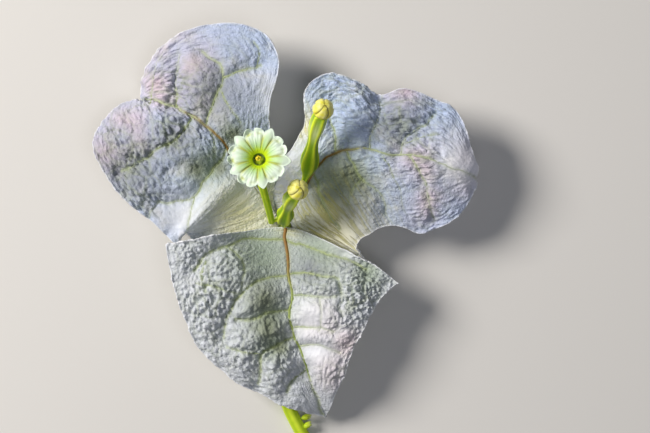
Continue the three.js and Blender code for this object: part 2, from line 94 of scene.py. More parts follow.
CREAM_STREAKS = 0.1
COMBED_STREAKS = 0.12
BLUSH_CLOUDS = ((0.4, 3.0, 10),)

# Furrows along the veins and the roll of the rim, by height and width, and the rippled margin
MAIN_FURROW = (-0.14, 0.3)
FINE_FURROW = (-0.07, 0.25)
RIM_ROLL = (0.08, 0.2)
MARGIN_RIPPLE = ((0.25, 1.3, 8), (0.3, 3.4, 9))
RIPPLE_WIDTH = 0.9
RIPPLE_START = (7.0, 12.0)

# How wide the colour of each line is painted
PAINT_WIDTHS = {"main": 0.32, "fine": 0.24, "rib": 0.3, "net": 0.15, "wide_net": 0.2, "rim": 0.13}

# Veins: radii where they leave the midrib and at their ends, and how they wander
SIDE_VEIN_RADII = (0.13, 0.05)
FINE_VEIN_RADII = (0.07, 0.03)
MIDRIB_TAPER = 0.4
VEIN_SINK = 0.45
VEIN_SPACING = 0.4
VEIN_WANDER = ((0.26, 1.5, 0), (0.3, 4.0, 2))
VEIN_SEEDS = (21, 22)

# Open flower. Its parts come in fives, and each wide lobe's two tips are curled by so much
PARTS = 5
LIMB_CENTRE = (-3.95, 11.55, 19.6)
LIMB_AXIS = (-0.1, 0.2, 1.0)
LOBE_PITCH = FULL_TURN / PARTS
LOBE_TURN = math.radians(65)
FOLD_ANGLE = math.radians(12.5)
CURLED_TIPS = [(0.6, 0.5), (1.0, 0.6), (1.0, 0.9), (0.4, 0.5), (0.3, 0.4)]
THROAT_RADIUS = 0.95
FUNNEL_DEPTH = 1.5
WELL_DEPTH = 0.95
TIP_DROOP = 0.35
TIP_LIFT = 0.1
FOLD_DEPTH = 0.16
KEEL_HEIGHT = 0.14
CREASE_DEPTH = 0.12
PLEATS = 19
PLEAT_HEIGHT = 0.018
ANTHER_RING = 0.34
ANTHER_HALF_GAP = 0.09
ANTHER_RADIUS = 0.14
STIGMA_RADIUS = 0.24
TWIG_RADIUS = 0.28

# Buds
BODY_TWIST = 0.25
RIDGE_HEIGHT = 0.2
KNOB_TWIST = 0.35
KNOB_CLOSING = 0.62
CREASE_WIDTH = 0.09
GROOVE_WIDTH = 0.28

# Faces along and round each tube; the limb's are round it, outwards and in its well
FLOWER_TUBE_FACES = (90, 30)
FLOWER_TWIG_FACES = (16, 12)
LIMB_FACES = (440, 44, 8)
BUD_BODY_FACES = (150, 80)
BUD_KNOB_FACES = (60, 160)
PEDUNCLE_FACES = (220, 36)
RECEPTACLE_FACES = (24, 20)
SCALE_FACES = (20, 16)

# Stage in metres, with each light's place and size. The camera's place and view are in millimetres
FLOOR_REACH = 1.5
KEY_LIGHT = ((-0.4, 0.19, 0.36), 0.25)
FRONT_LIGHT = ((0.1, -0.1, 0.6), 0.3)
LIGHT_TARGET = (0.0, 0.005, 0.01)
CAMERA_PLACE = (6.57, 3.655, 460.0)
VIEW_WIDTH = 110.5
SENSOR_WIDTH = 36.0

# Stations of each bract from base to tip: a point on the midrib, and where the tissue that leaves
# the midrib there reaches the left and the right margin, looking from base to tip. The base lines
# give what lies between the three points of the first station. The veins are lines in plan, first
# the ones that the pillows lie between and then the finer ones. A fold has a height, a width and a
# line. Patches are round spots with their radii: of colour (blush and cream), of painted shade
# (grey and olive, and green, which is partly the tissue's own green tint), of smooth tissue that is
# also painted whiter as a painted highlight, of puckered (bullate) tissue, of tissue combed by fine
# pleats, and of veins that have faded.
LEFT_BRACT = {
    "stations": [
        ((-0.5, 1, 4.3), (-15.3, -2, 3.2), (-1.9, 3.4, 4.2)),
        ((-2.6, 4.2, 5.6), (-16.3, -0.8, 3.9), (-1.8, 5.6, 4.7)),
        ((-4.9, 7.4, 7), (-17, -0.6, 5.4), (-1.5, 8.7, 5.6)),
        ((-7.4, 10.7, 8.2), (-18, -2.3, 6.4), (-1.9, 13.4, 7)),
        ((-10.2, 14.4, 9.2), (-21.6, 0.9, 7.8), (-2.4, 20, 9)),
        ((-13, 17, 9.7), (-25.6, 4, 8.2), (-0.7, 28, 9.4)),
        ((-15.5, 19, 9.6), (-29.3, 8.5, 8), (-3.5, 32.7, 9)),
        ((-18, 20.2, 9), (-31.7, 13.8, 7), (-11.4, 34.1, 8)),
        ((-20.6, 21.1, 7.6), (-30.3, 17.8, 5.4), (-19.5, 30.9, 6.4)),
        ((-23, 21.5, 5), (-26.3, 20.8, 3.6), (-23.8, 24.6, 4.6)),
    ],
    "tip": (-23.9, 20.9, -0.4),
    "left_base": [(-1.7, -0.6, 4.4), (-3.7, -1.3, 4.8), (-8.1, -2.2, 4.8), (-12.4, -2.4, 4)],
    "right_base": [],
    "veins": [
        [(-12.9, 17.2), (-11.4, 21.4), (-10, 24.9), (-10.7, 27.4), (-13.7, 29.4)],
        [(-10, 24.9), (-7.2, 26.1), (-3.5, 27.2)],
        [(-15.1, 18.6), (-17.9, 14.6), (-20.6, 13.2), (-23.7, 11.2), (-26.9, 9.7)],
        [(-9.2, 13.4), (-12.7, 8.4), (-15.1, 5.2), (-17.9, 4.5), (-20.9, 4.4)],
        [(-17.7, 20.1), (-17.6, 23.1), (-17.7, 25.9), (-17.6, 28.9)],
    ],
    "fine_veins": [
        [(-22.2, 20.7), (-21.7, 23.4), (-21.1, 26.9), (-20.1, 29.4)],
        [(-15.1, 5.2), (-15.4, 3.7), (-15.6, 2), (-16.1, 0)],
        [(-10.2, 22.2), (-9.4, 21.2), (-8.4, 19.4), (-7.2, 17.4)],
        [(-4.2, 27), (-4, 29.2), (-4.9, 31)],
        [(-20.6, 4.4), (-21.9, 3.2), (-22.6, 1.7)],
        [(-12.9, 17.2), (-11.7, 14.7), (-11.6, 11.4)],
    ],
    "swell": 0.9,
    "channel": 0.6,
    "folds": [
        (0.9, 1.5, [(-16, -0.5), (-12.1, 4.2), (-8.5, 7)]),
        (-0.8, 1.6, [(-18.5, 9.9), (-13, 10.2), (-8, 9.6)]),
        (-0.5, 1.3, [(-11, 15.2), (-6, 15)]),
        (-0.5, 0.8, [(-18.3, 25.6), (-18.3, 20.6)]),
        (-0.35, 0.7, [(-21.3, 23.6), (-21.3, 21.6)]),
    ],
    "rust_reach": 0.66,
    "puckered": 1.7,
    "striped": 0.3,
    "grey_shade": [(-11, 22.5, 6), (-25, 9.5, 6.5), (-18, 14.5, 4.5)],
    "hidden": 0.3,
    "rib_radius": 0.24,
    "rib_fade": 0.8,
    "blush": [(-19, 25.5, 8.5), (-26, 18.5, 6.5), (-29, 13, 5)],
    "cream": [(-7.5, 2, 6), (-1, 3.5, 6)],
    "smooth": [(-17.5, 2, 4.5), (-1.5, 22, 4), (-7, 4.8, 2.5)],
    "bullate": [(-25.5, 9, 6.5), (-19, 24.5, 4.5), (-18.5, 15, 3.5)],
    "faded": [(-19, 28, 6), (-24, 6, 5)],
    "combed": [(-17, 0.5, 4.5)],
    "coolness": 0.8,
    "green": [(-13, 10.2, 3.5), (-8.5, 15.6, 2.5)],
    "olive": [(-8, 15.4, 1.5), (-14.5, 10, 1.6), (-10.5, 10, 1.6)],
    "seed": 11,
}

RIGHT_BRACT = {
    "stations": [
        ((0.9, 1.5, 4.1), (-1.5, 2.5, 4), (13.9, -5.5, 4.8)),
        ((2.1, 4.6, 5), (-2.7, 5.2, 4.5), (13, -4.3, 5.4)),
        ((3.3, 6.9, 5.9), (-2, 9.5, 5.4), (12.3, -3.2, 6.2)),
        ((4.6, 9.1, 6.8), (1.8, 13.8, 6.4), (13, -1.8, 6.8)),
        ((6.5, 11.1, 7.8), (3.8, 18.8, 7.4), (14.5, -1, 7.2)),
        ((8.8, 12.4, 8.8), (4, 23.4, 8.2), (16, 0, 7.4)),
        ((11.5, 13, 9.6), (7.3, 25.8, 8), (17.8, 0.4, 7.2)),
        ((14.5, 13, 10.1), (12.1, 24.6, 8.4), (20, 0.2, 6.9)),
        ((17.4, 12.3, 10.2), (16, 22.3, 7.8), (22.6, -0.8, 6.4)),
        ((20.3, 11.9, 10.5), (20.3, 23.2, 8.8), (25.5, -0.1, 6.8)),
        ((23.1, 11.4, 10.7), (24.8, 21.7, 8.8), (28.4, 1.4, 7.2)),
        ((26.1, 10.7, 10.6), (28.7, 19.6, 8.6), (30.4, 3.6, 7)),
        ((29.1, 9.7, 10.5), (31, 14.7, 9.1), (31.6, 5.9, 7.2)),
        ((31.2, 8.8, 9.5), (32, 10.6, 8.4), (32.4, 7.4, 7)),
    ],
    "tip": (32.3, 8, -0.5),
    "left_base": [],
    "right_base": [(1.9, -0.2, 4.1), (3.4, -1.1, 4.2), (7, -2.7, 4.1), (10.5, -3.9, 4.3)],
    "veins": [
        [(10.8, 12.9), (12.8, 8.7), (16, 5.7), (16.8, 4), (17.1, 2.2)],
        [(9, 12.4), (8.5, 16.1), (8, 18.2), (8, 20.9)],
        [(14.6, 13.1), (14.8, 16.4), (16.1, 19.1), (16.1, 21.4)],
        [(19.3, 12), (20.5, 15.2), (23.7, 17.1), (25, 19.4)],
        [(20.7, 11.7), (22.8, 9.4), (24.2, 6.4), (24.7, 3.5), (25.2, 1.4)],
        [(5, 9.2), (6, 6.4), (7.3, 3), (9.5, -0.3)],
    ],
    "fine_veins": [
        [(16, 5.7), (16.9, 4.2), (17.2, 2.4), (18.4, 0.4)],
        [(13.3, 8.4), (11.5, 6.4), (10.7, 3.9)],
        [(16.4, 12), (17.8, 9.7), (19.2, 6.4), (20.4, 2.7)],
        [(20.1, 13.5), (22.5, 14.7), (26.2, 15.4)],
    ],
    "swell": 0.8,
    "channel": 0.5,
    "folds": [
        (0.8, 1.5, [(21.3, 11), (24, 8.5), (24.4, 6.2), (24.4, 3)]),
        (-0.5, 1.6, [(19, 16.5), (23.5, 14.5)]),
    ],
    "rust_reach": 0.46,
    "puckered": 0.9,
    "striped": 0.75,
    "grey_shade": [(19, 17.5, 3.5), (0, 8, 4)],
    "hidden": -1.0,
    "rib_radius": 0.26,
    "rib_fade": 0.8,
    # Pink tint; the spot at the far end also lightens tissue that faces away from the key light,
    # partly painted light
    "blush": [(24, 4, 4), (23, 11, 4.5), (20, 23.5, 4), (30.5, 10, 5)],
    "cream": [(7, -0.5, 8.5), (2.5, 17.5, 3)],
    "smooth": [(29.5, 11, 5), (11, -1.5, 4), (-0.5, 7.5, 5), (1.5, 12, 4)],
    "bullate": [(22.5, 15, 5), (11.5, 21, 4.5), (17, 18.5, 4)],
    "faded": [(18, 18, 7), (20, 4, 7), (28, 10, 6)],
    "combed": [(12, -3, 4.5)],
    "coolness": 0.8,
    "green": [(10.5, 8.5, 4)],
    "olive": [(11, 8.5, 3), (7, 5.5, 2.5)],
    "seed": 12,
}

LOWER_BRACT = {
    "stations": [
        ((0.1, 0.2, 5.3), (19.2, -9.2, 7.4), (-19.5, -2.6, 10)),
        ((0.1, -1.8, 5.9), (17.8, -10.2, 7.8), (-18.8, -6.6, 9.8)),
        ((0.4, -5, 6.7), (16.5, -11.5, 8), (-17.7, -11, 9.2)),
        ((0.8, -8.1, 7.4), (15.3, -13.2, 8), (-16.2, -15.3, 8.6)),
        ((1.1, -11, 7.8), (14.3, -15, 7.8), (-14.3, -19.5, 7.9)),
        ((1.1, -13.8, 8), (13.2, -17.2, 8.2), (-11.3, -22.8, 7.1)),
        ((1.5, -16.2, 8), (12, -19.2, 8.2), (-8, -25.5, 6.4)),
        ((2.1, -18.7, 7.7), (11.2, -21.6, 7.8), (-4.5, -27.4, 5.7)),
        ((3.1, -21.7, 7.1), (10.3, -24, 7.1), (-1.3, -29.1, 5.2)),
        ((4.5, -25.7, 6), (8.8, -27.6, 5.7), (2.6, -30.5, 4.4)),
    ],
    "tip": (7, -31.9, 2.6),
    "left_base": [(2.8, -0.3, 5.6), (6.5, -1.8, 6.2), (11.2, -4, 6.8), (15.2, -6, 7.2)],
    "right_base": [(-3.6, -0.1, 5.8), (-7.3, -0.6, 6.9), (-11.4, -1, 8.2), (-15.5, -2, 9.4)],
    "veins": [
        [(0.1, -1.8), (-3.5, -1.8), (-6.2, -1.8), (-9.9, -3.1), (-13.4, -5), (-14.7, -7)],
        [(0.8, -8.1), (-3.2, -8.6), (-6.7, -10.3), (-8.5, -13.3), (-9.4, -15.3), (-10, -18.3)],
        [(1.1, -13.8), (-2.7, -14.3), (-5.2, -15.3), (-7.9, -15.3)],
        [(1.8, -17.8), (-1.7, -19.7), (-3.7, -21), (-4, -23.8), (-4.4, -26)],
        [(3.8, -23.8), (2, -25), (0.5, -27.2)],
        [(0.8, -8.1), (3.5, -7.6), (6.1, -7.8), (8.8, -8.1), (9.6, -10.3), (9.8, -12.3)],
        [(1.1, -11.3), (5, -11.3), (7.5, -11.6), (9.1, -11.3)],
        [(1.6, -16.6), (5, -16.3), (8.1, -17.3)],
        [(2.5, -19.7), (6.3, -19.7), (9.5, -20.7)],
        [(0.1, -1.8), (3.3, -3.1), (6.5, -3.8), (10.5, -5.1), (13.8, -6.6)],
    ],
    "fine_veins": [
        [(-9.9, -3.1), (-7.9, -4.8), (-6.7, -6.5), (-6.9, -8.5), (-7.2, -10.3)],
        [(-14.2, -9.2), (-10.6, -9.8), (-7.5, -10.5)],
        [(-3.8, -20.8), (-6.3, -20.8), (-9.6, -20.1)],
        [(9.8, -12.3), (9.1, -12.9), (9.6, -14.9)],
        [(6.1, -11.5), (6.5, -14), (5.8, -17)],
        [(-12.9, -5.6), (-13.4, -7.8), (-12.7, -10.3)],
    ],
    "swell": 1.0,
    "channel": 2.8,
    "folds": [
        (-0.4, 1.2, [(9.5, -4.6), (14.5, -7.2), (17.5, -8.8)]),
    ],
    "rust_reach": 0.34,
    "puckered": 0.9,
    "striped": 0.4,
    "grey_shade": [(4.5, -7, 2.5)],
    "hidden": -1.0,
    "rib_radius": 0.36,
    "rib_fade": 0.0,
    "blush": [(10.5, -19.5, 3), (8, -23.5, 3), (6.5, -16, 3)],
    "cream": [(1, 1, 2.5)],
    "smooth": [(4.3, -15, 3.6), (6, -20.5, 3), (10, -3, 3)],
    "bullate": [(-12, -11, 6), (6.5, -8.5, 4), (12, -11, 4), (-5, -21.5, 5)],
    "faded": [(9, -14, 7), (8, -21, 6)],
    "combed": [(15.5, -7.5, 4.5)],
    "coolness": 0.1,
    "green": [
        (-3, -4.8, 6.5), (-2.5, -14, 4), (-2, -19, 3),
        (6, -4, 5.5), (14, -7.5, 3),
    ],
    "olive": [(-3.2, -11.8, 2.6), (-2.6, -16.5, 2.6), (-0.5, -20, 1.6)],
    "seed": 13,
}
BRACTS = {"bract_left": LEFT_BRACT, "bract_right": RIGHT_BRACT, "bract_lower": LOWER_BRACT}
PAINTED_PATCHES = ("cream", "smooth", "faded", "green", "olive", "grey_shade")
PATCHES = (*PAINTED_PATCHES, "blush", "bullate", "combed")

# Middle lines and radii of the tubes and buds, from where they leave their bract's midrib
FLOWER_TUBE_PATH = [
    (-2.0, 1.0, 5.4), (-2.45, 3.2, 8.2), (-3.0, 5.4, 10.8), (-3.6, 7.8, 13.0),
    (-3.9, 9.9, 14.6), (-3.9, 11.0, 16.0), (-3.8, 11.3, 17.4),
]
FLOWER_TUBE_RADII = [0.5, 0.58, 0.62, 0.68, 0.85, 0.9]
FLOWER_TWIG_PATH = [(-1.9, 1.2, 5.6), (-1.2, 1.3, 5.9), (-0.5, 1.5, 6.4), (0.0, 1.2, 7.0)]
KNOB_RADII = [1.15, 1.5, 1.62, 1.55, 1.25, 0.7]
CREASE_STRENGTHS = [0.15, 1.0, 0.85, 0.15, 0.8]
BUDS = {
    "upper_bud": {
        "path": [
            (3.2, 7.2, 6.9), (4.0, 9.3, 8.6), (4.5, 11.9, 10.8),
            (5.1, 14.9, 13.0), (5.8, 17.3, 14.8), (6.2, 18.4, 15.5),
        ],
        "radii": [0.5, 0.55, 0.95, 1.45, 1.45, 1.15, 0.92, 0.95, 1.2, 1.3, 1.2],
        "knob": [(6.35, 18.8, 15.6), (6.7, 19.6, 16.9), (6.9, 20.2, 18.3)],
    },
    "lower_bud": {
        "path": [
            (0.1, 0.5, 6.05), (0.2, 1.5, 8.3), (0.6, 3.0, 11.9), (1.4, 4.7, 14.8), (1.9, 5.5, 16.0),
        ],
        "radii": [0.5, 0.65, 1.25, 1.4, 1.3, 1.0, 0.9, 1.2, 1.35, 1.2],
        "knob": [(2.15, 5.9, 16.2), (2.6, 6.4, 17.6), (2.9, 6.75, 19.0)],
    },
}
PEDUNCLE_PATH = [
    (0.0, 1.2, 1.9), (-0.1, -2.0, 1.9), (-0.5, -10.5, 1.7), (-0.5, -19.0, 1.3),
    (-0.2, -25.8, 1.15), (0.7, -30.0, 1.1), (2.2, -33.2, 1.1), (4.4, -37.1, 1.1),
]
# Middle lines and radii of the peduncle's swollen top and of the claws that the bracts stand on
RECEPTACLE = (
    ([(0.1, 1.1, 0.5), (0.1, 1.1, 2.2), (0.1, 0.9, 3.9)], [0.6, 1.3, 0.9]),
    ([(0.1, 0.8, 2.8), (0.15, 0.35, 4.0), (0.1, 0.3, 5.3)], [0.7, 0.5, 0.42]),
    ([(0.3, 1.2, 2.6), (0.8, 1.5, 3.6), (1.3, 2.4, 4.5)], [0.6, 0.5, 0.4]),
    ([(0.0, 1.2, 2.6), (-0.5, 1.2, 3.7), (-1.2, 2.0, 4.7)], [0.6, 0.5, 0.4]),
)
# Foot, length and tilt of each axillary bud, and how its scales are turned
AXILLARY_BUDS = (((3.0, -32.2, 1.8), 1.9, 0.15), ((3.4, -33.8, 1.7), 1.7, 0.5))
SCALE_TURNS = (0.0, 2.1, 4.2)


def linear(code):
    """A colour that a six-figure screen code names, in Blender's linear values."""
    parts = [int(code[i:i + 2], 16) / 255 for i in (0, 2, 4)]
    return tuple(p / 12.92 if p <= 0.04045 else ((p + 0.055) / 1.055) ** 2.4 for p in parts)


def colour_property(name, code, place):
    return FloatVectorProperty(
        name=name, description="Colour of " + place, subtype="COLOR", size=3, min=0.0, max=1.0,
        default=linear(code))


def length_property(name, millimetres, description):
    return FloatProperty(
        name=name, description=description, unit="LENGTH", subtype="DISTANCE",
        default=millimetres * MM, precision=5)


def power_property(name, watts, description):
    return FloatProperty(name=name, description=description, unit="POWER", default=watts)


class BractSettings(bpy.types.PropertyGroup):
    """Sizes and colours of the three papery bracts"""

    thickness: length_property("Thickness", 0.26, "Thickness of the papery blade")
    rows: IntProperty(name="Rows", description="Faces along a blade", default=158, min=20)
    columns: IntProperty(name="Columns", description="Faces across a blade", default=276, min=20)
    pillow: length_property("Pillow height", 0.5, "How far the tissue swells inside a mesh")
    pitch: length_property("Net pitch", 1.3, "Width of a mesh of the net of veins")
    cool: colour_property("Cool white", "b0c6ee", "most of the blade")
    warm: colour_property("Warm white", "d6dade", "the warmer patches")
    # Painted highlight: the white laid on the pillows' tops, on the smooth patches and along the
    # rim
    crown_highlight: colour_property("Crown white", "f4f6fc", "the tops of the pillows")
    blush: colour_property("Blush", "e0c2c8", "the tint towards the outer edges")
    cream: colour_property("Cream", "fbf6cc", "the smooth bases")
    stripe: colour_property("Stripe", "bcb64c", "the fine stripes on the bases")
    # Partly the tissue's own green tint and partly painted shade, on folds, slopes and under the
    # buds
    green: colour_property("Patch green", "8fa286", "the green patches")
    # Painted shade: darkens the grey patches where the tissue lies in shade
    grey_shade: colour_property("Patch grey", "868b96", "the grey patches")
    # Painted shade, the darkest: the olive patches beside the lower midrib, in folds and under the
    # buds
    olive: colour_property("Patch olive", "69704e", "the darkest patches")
    # The finest veins, and painted shade in the furrows between the pillows
    net: colour_property("Net green", "98a284", "the finest net of veins")
    vein: colour_property("Vein green", "a3b069", "the veins")
    vein_shade: colour_property("Vein shade", "8b9e4c", "the veins' darker stretches")
    rust: colour_property("Rust", "8f6a30", "the midrib near its base")


class FlowerSettings(bpy.types.PropertyGroup):
    """Sizes and colours of the open flower"""

    reach: length_property("Limb radius", 5.15, "Radius of the spread limb")
    thickness: length_property("Limb thickness", 0.18, "Thickness of the limb")
    white: colour_property("Limb white", "e6f7e4", "the lobes' tips")
    green: colour_property("Limb green", "b8e28c", "the lobes' middles")
    # Also laid in the curled tips' pockets as painted shade
    fold: colour_property("Fold olive", "aeb424", "the folds between the lobes")
    throat: colour_property("Throat yellow", "c5e100", "the ring round the throat")
    # Partly the throat's own green, partly painted shade that darkens down the well
    well: colour_property("Throat green", "3c5c08", "the inside of the throat")
    anther: colour_property("Anther yellow", "fbe84a", "the anthers")
    dust: colour_property("Anther brown", "b9820c", "the dust on the anthers")


class StalkSettings(bpy.types.PropertyGroup):
    """Sizes and colours of the stalks and buds"""

    radius: length_property("Peduncle radius", 1.1, "Radius of the peduncle")
    bright: colour_property("Bright green", "e8f83c", "the ribs and lit sides")
    deep: colour_property("Deep green", "72a208", "the furrows")
    pale: colour_property("Pale green", "e6efb4", "cut ends and the buds' necks")
    knob: colour_property("Knob yellow", "f8f040", "the buds' knobs")
    knob_shade: colour_property("Knob shade", "d3cf16", "the knobs' darker patches")
    # Painted highlight on the crowns of the knobs' lobes
    knob_highlight: colour_property("Knob light", "fbf6a6", "the crowns of the knobs' lobes")
    crease: colour_property("Crease brown", "402804", "the creases on the knobs")


class StageSettings(bpy.types.PropertyGroup):
    """The surface, the light and the camera"""

    floor: colour_property("Floor", "e4e2de", "the surface that the cyme lies on")
    floor_shade: colour_property("Floor shade", "dcdad4", "the surface's darker patches")
    key: power_property("Key light", 3.7, "Power of the light from the upper left")
    key_colour: colour_property("Key colour", "fffaf4", "the light from the upper left")
    front: power_property("Front light", 0.5, "Power of the light from above")
    front_colour: colour_property("Front colour", "f4f6ff", "the light from above")
    sky: FloatProperty(name="Sky", description="Strength of the light from all round", default=0.11)
    sky_colour: colour_property("Sky colour", "dfe4f2", "the light from all round")


class Value:
    """A socket that gives a number or a colour, with Python's operators for numbers."""

    def __init__(self, finish, socket):
        self.finish = finish
        self.socket = socket

    def __add__(self, other):
        return self.finish.math("ADD", self, other)

    def __radd__(self, other):
        return self.finish.math("ADD", other, self)

    def __sub__(self, other):
        return self.finish.math("SUBTRACT", self, other)

    def __rsub__(self, other):
        return self.finish.math("SUBTRACT", other, self)

    def __mul__(self, other):
        return self.finish.math("MULTIPLY", self, other)

    def __rmul__(self, other):
        return self.finish.math("MULTIPLY", other, self)

    def ramp(self, low, high):
        """0 below low and 1 above high, smooth between them."""
        return self.finish.add(
            "ShaderNodeMapRange", {"interpolation_type": "SMOOTHSTEP"},
            {"Value": self, "From Min": low, "From Max": high})


class Finish:
    """A procedural material in the making."""

    def __init__(self, name, **constants):
        self.material = bpy.data.materials.new(name)
        self.material.use_nodes = True
        self.tree = self.material.node_tree
        self.surface = self.tree.nodes["Principled BSDF"]
        for socket, value in constants.items():
            self.surface.inputs[socket.replace("_", " ")].default_value = value

    def feed(self, socket, value):
        """Links a value to a socket, or sets the socket to a plain number or colour."""
        if isinstance(value, Value):
            self.tree.links.new(value.socket, socket)
        elif socket.type == "RGBA":
            socket.default_value = (*value[:3], 1.0)
        else:
            socket.default_value = value

    def add(self, kind, settings=None, sockets=None, output=0):
        """Adds a node of a kind, first its settings and then the values of its sockets."""
        node = self.tree.nodes.new(kind)
        for name, value in (settings or {}).items():
            setattr(node, name, value)
        for key, value in (sockets or {}).items():
            self.feed(node.inputs[key], value)
        return Value(self, node.outputs[output])

    def math(self, operation, first, second):
        return self.add("ShaderNodeMath", {"operation": operation}, {0: first, 1: second})

    def coats(self, colour, *coats):
        """Lays coats over a colour one by one, each given by its factor and its colour."""
        for factor, over in coats:
            colour = self.add(
                "ShaderNodeMix", {"data_type": "RGBA", "clamp_factor": True},
                {0: factor, 6: colour, 7: over}, 2)
        return colour

    def painted(self, name):
        """A value painted on the piece's vertices."""
        return self.add("ShaderNodeAttribute", {"attribute_name": name}, output="Fac")

    def noise(self, per_millimetre, detail=3.0):
        """Soft noise from 0 to 1 over the piece, with so many turns in a millimetre."""
        place = self.add("ShaderNodeTexCoord", output="Object")
        return self.add("ShaderNodeTexNoise", {"noise_dimensions": "3D"}, {
            "Vector": place, "Scale": per_millimetre / MM, "Detail": detail, "Roughness": 0.55})

    def streaks(self):
        """Fine stripes that follow the tissue from the midrib to the margin."""
        vector = self.add("ShaderNodeCombineXYZ", {}, {
            "X": self.painted("along") * STREAKS_ALONG,
            "Y": self.painted("across") * STREAKS_ACROSS})
        return self.add("ShaderNodeTexNoise", {}, {
            "Vector": vector, "Scale": 1.0, "Detail": 3.0, "Roughness": 0.6})

    def bump(self, height, millimetres):
        """Relief of so many millimetres, worked out from a height between 0 and 1."""
        return self.add("ShaderNodeBump", {}, {
            "Height": height, "Distance": millimetres * MM, "Strength": 1.0})

    def done(self, **sockets):
        """Feeds the surface's sockets and gives the material."""
        for socket, value in sockets.items():
            self.feed(self.surface.inputs[socket.replace("_", " ")], value)
        return self.material


def smooth_curve(points, parameter):
    """Points, at parameters from 0 to 1, of a centripetal Catmull-Rom curve through given ones."""
    given = np.asarray(points, float)
    knots = np.vstack([2 * given[0] - given[1], given, 2 * given[-1] - given[-2]])
    place = np.clip(np.asarray(parameter, float), 0, 1) * (len(given) - 1)
    index = np.minimum(place.astype(int), len(given) - 2)
    t = (place - index)[:, None]
    p0, p1, p2, p3 = (knots[index + k] for k in range(4))
    d0, d1, d2 = (
        np.sqrt(np.linalg.norm(b - a, axis=1))[:, None] for a, b in ((p0, p1), (p1, p2), (p2, p3)))
    m1 = ((p1 - p0) / d0 - (p2 - p0) / (d0 + d1) + (p2 - p1) / d1) * d1
    m2 = ((p2 - p1) / d1 - (p3 - p1) / (d1 + d2) + (p3 - p2) / d2) * d1
    cubic = 2 * (p1 - p2) + m1 + m2
    square = 3 * (p2 - p1) - 2 * m1 - m2
    return ((cubic * t + square) * t + m1) * t + p1


def even_curve(points, count):
    """Evenly spaced points of the smooth curve through the given points."""
    dense = smooth_curve(points, np.linspace(0, 1, CURVE_SAMPLES))
    steps = np.linalg.norm(np.diff(dense, axis=0), axis=1)
    length = np.concatenate([[0], np.cumsum(steps)])
    wanted = np.linspace(0, length[-1], count)
    return np.stack([np.interp(wanted, length, places) for places in dense.T], axis=1)


def smooth_numbers(numbers, count):
    """Numbers resampled to a count along a smooth curve through them."""
    spaced = [(i, number, 0.0) for i, number in enumerate(numbers)]
    return smooth_curve(spaced, np.linspace(0, 1, count))[:, 1]


def distance_to_lines(x, y, lines):
    """How far each point in plan is from the nearest stretch of any of the lines."""
    nearest = np.full(x.shape, np.inf)
    for line in lines:
        for (ax, ay), (bx, by) in zip(line[:-1], line[1:]):
            dx, dy = bx - ax, by - ay
            along = np.clip(((x - ax) * dx + (y - ay) * dy) / (dx * dx + dy * dy), 0, 1)
            nearest = np.minimum(nearest, np.hypot(x - ax - along * dx, y - ay - along * dy))
    return nearest


def step(value, low, high):
    """0 below low and 1 above high, smooth between them; also falling where low is over high."""
    t = np.clip((value - low) / (high - low), 0, 1)
    return t * t * (3 - 2 * t)


def bell(distance, width):
    """1 at no distance, falling softly to almost 0 at twice the width."""
    return np.exp(-((distance / width) ** 2))


def cells(x, y, pitch, size):
    """Places counted in pitches, clear of negative numbers, and the lattice cells they lie in."""
    gx, gy = x / pitch + size, y / pitch + size
    return gx, gy, np.floor(gx).astype(int), np.floor(gy).astype(int)


def soft_noise(x, y, pitch, seed):
    """Smooth noise from -1 to 1 in plan, with one lattice point each pitch."""
    size = 128
    lattice = np.random.default_rng(seed).uniform(-1, 1, (size, size))
    gx, gy, ix, iy = cells(x, y, pitch, size)
    fx, fy = step(gx - ix, 0, 1), step(gy - iy, 0, 1)

    def between(dy):
        before, after = (lattice[(ix + dx) % size, (iy + dy) % size] for dx in (0, 1))
        return before * (1 - fx) + after * fx

    return between(0) * (1 - fy) + between(1) * fy


def waves(x, y, seed, layers):
    """Soft noise in layers, each given by its height, its pitch and what the seed grows by."""
    return sum(height * soft_noise(x, y, pitch, seed + more) for height, pitch, more in layers)


def net_distance(x, y, pitch, seed):
    """How far each point in plan is from an irregular net of about the given pitch."""
    size = 64
    jitter = np.random.default_rng(seed).uniform(0.05, 0.95, (size, size, 2))
    gx, gy, ix, iy = cells(x, y, pitch, size)
    nearest = np.full(x.shape, np.inf)
    second = np.full(x.shape, np.inf)
    for dx in (-1, 0, 1):
        for dy in (-1, 0, 1):
            spot = jitter[(ix + dx) % size, (iy + dy) % size]
            away = np.hypot(ix + dx + spot[..., 0] - gx, iy + dy + spot[..., 1] - gy)
            second = np.minimum(second, np.maximum(nearest, away))
            nearest = np.minimum(nearest, away)
    return (second - nearest) * pitch / 2


def patch(x, y, spots):
    """Soft round spots from 0 to 1, each given by its centre and radius."""
    total = np.zeros(x.shape)
    for cx, cy, radius in spots:
        total = np.maximum(total, bell(np.hypot(x - cx, y - cy), radius))
    return total


def crowded(count, at_start, at_end):
    """Numbers from 0 to 1, drawn closer together at the start and at the end."""
    t = np.linspace(0, 1, count + 1)
    start = at_start * np.sin(math.pi * t) / math.pi
    end = at_end * np.sin(FULL_TURN * t) / FULL_TURN
    return t - start - end


def wandering(line):
    """A vein's line in plan as close points that wander a little to both sides."""
    flat = np.asarray(line, float)
    length = np.linalg.norm(np.diff(flat, axis=0), axis=1).sum()
    level = np.column_stack([flat, np.zeros(len(flat))])
    plan = even_curve(level, max(5, round(length / VEIN_SPACING)))[:, :2]
    away = [waves(plan[:, 0], plan[:, 1], seed, VEIN_WANDER) for seed in VEIN_SEEDS]
    return plan + np.stack(away, axis=1)


def midrib_line(bract):
    """The midrib in plan, without the tip."""
    return [middle[:2] for middle, left, right in bract["stations"]]


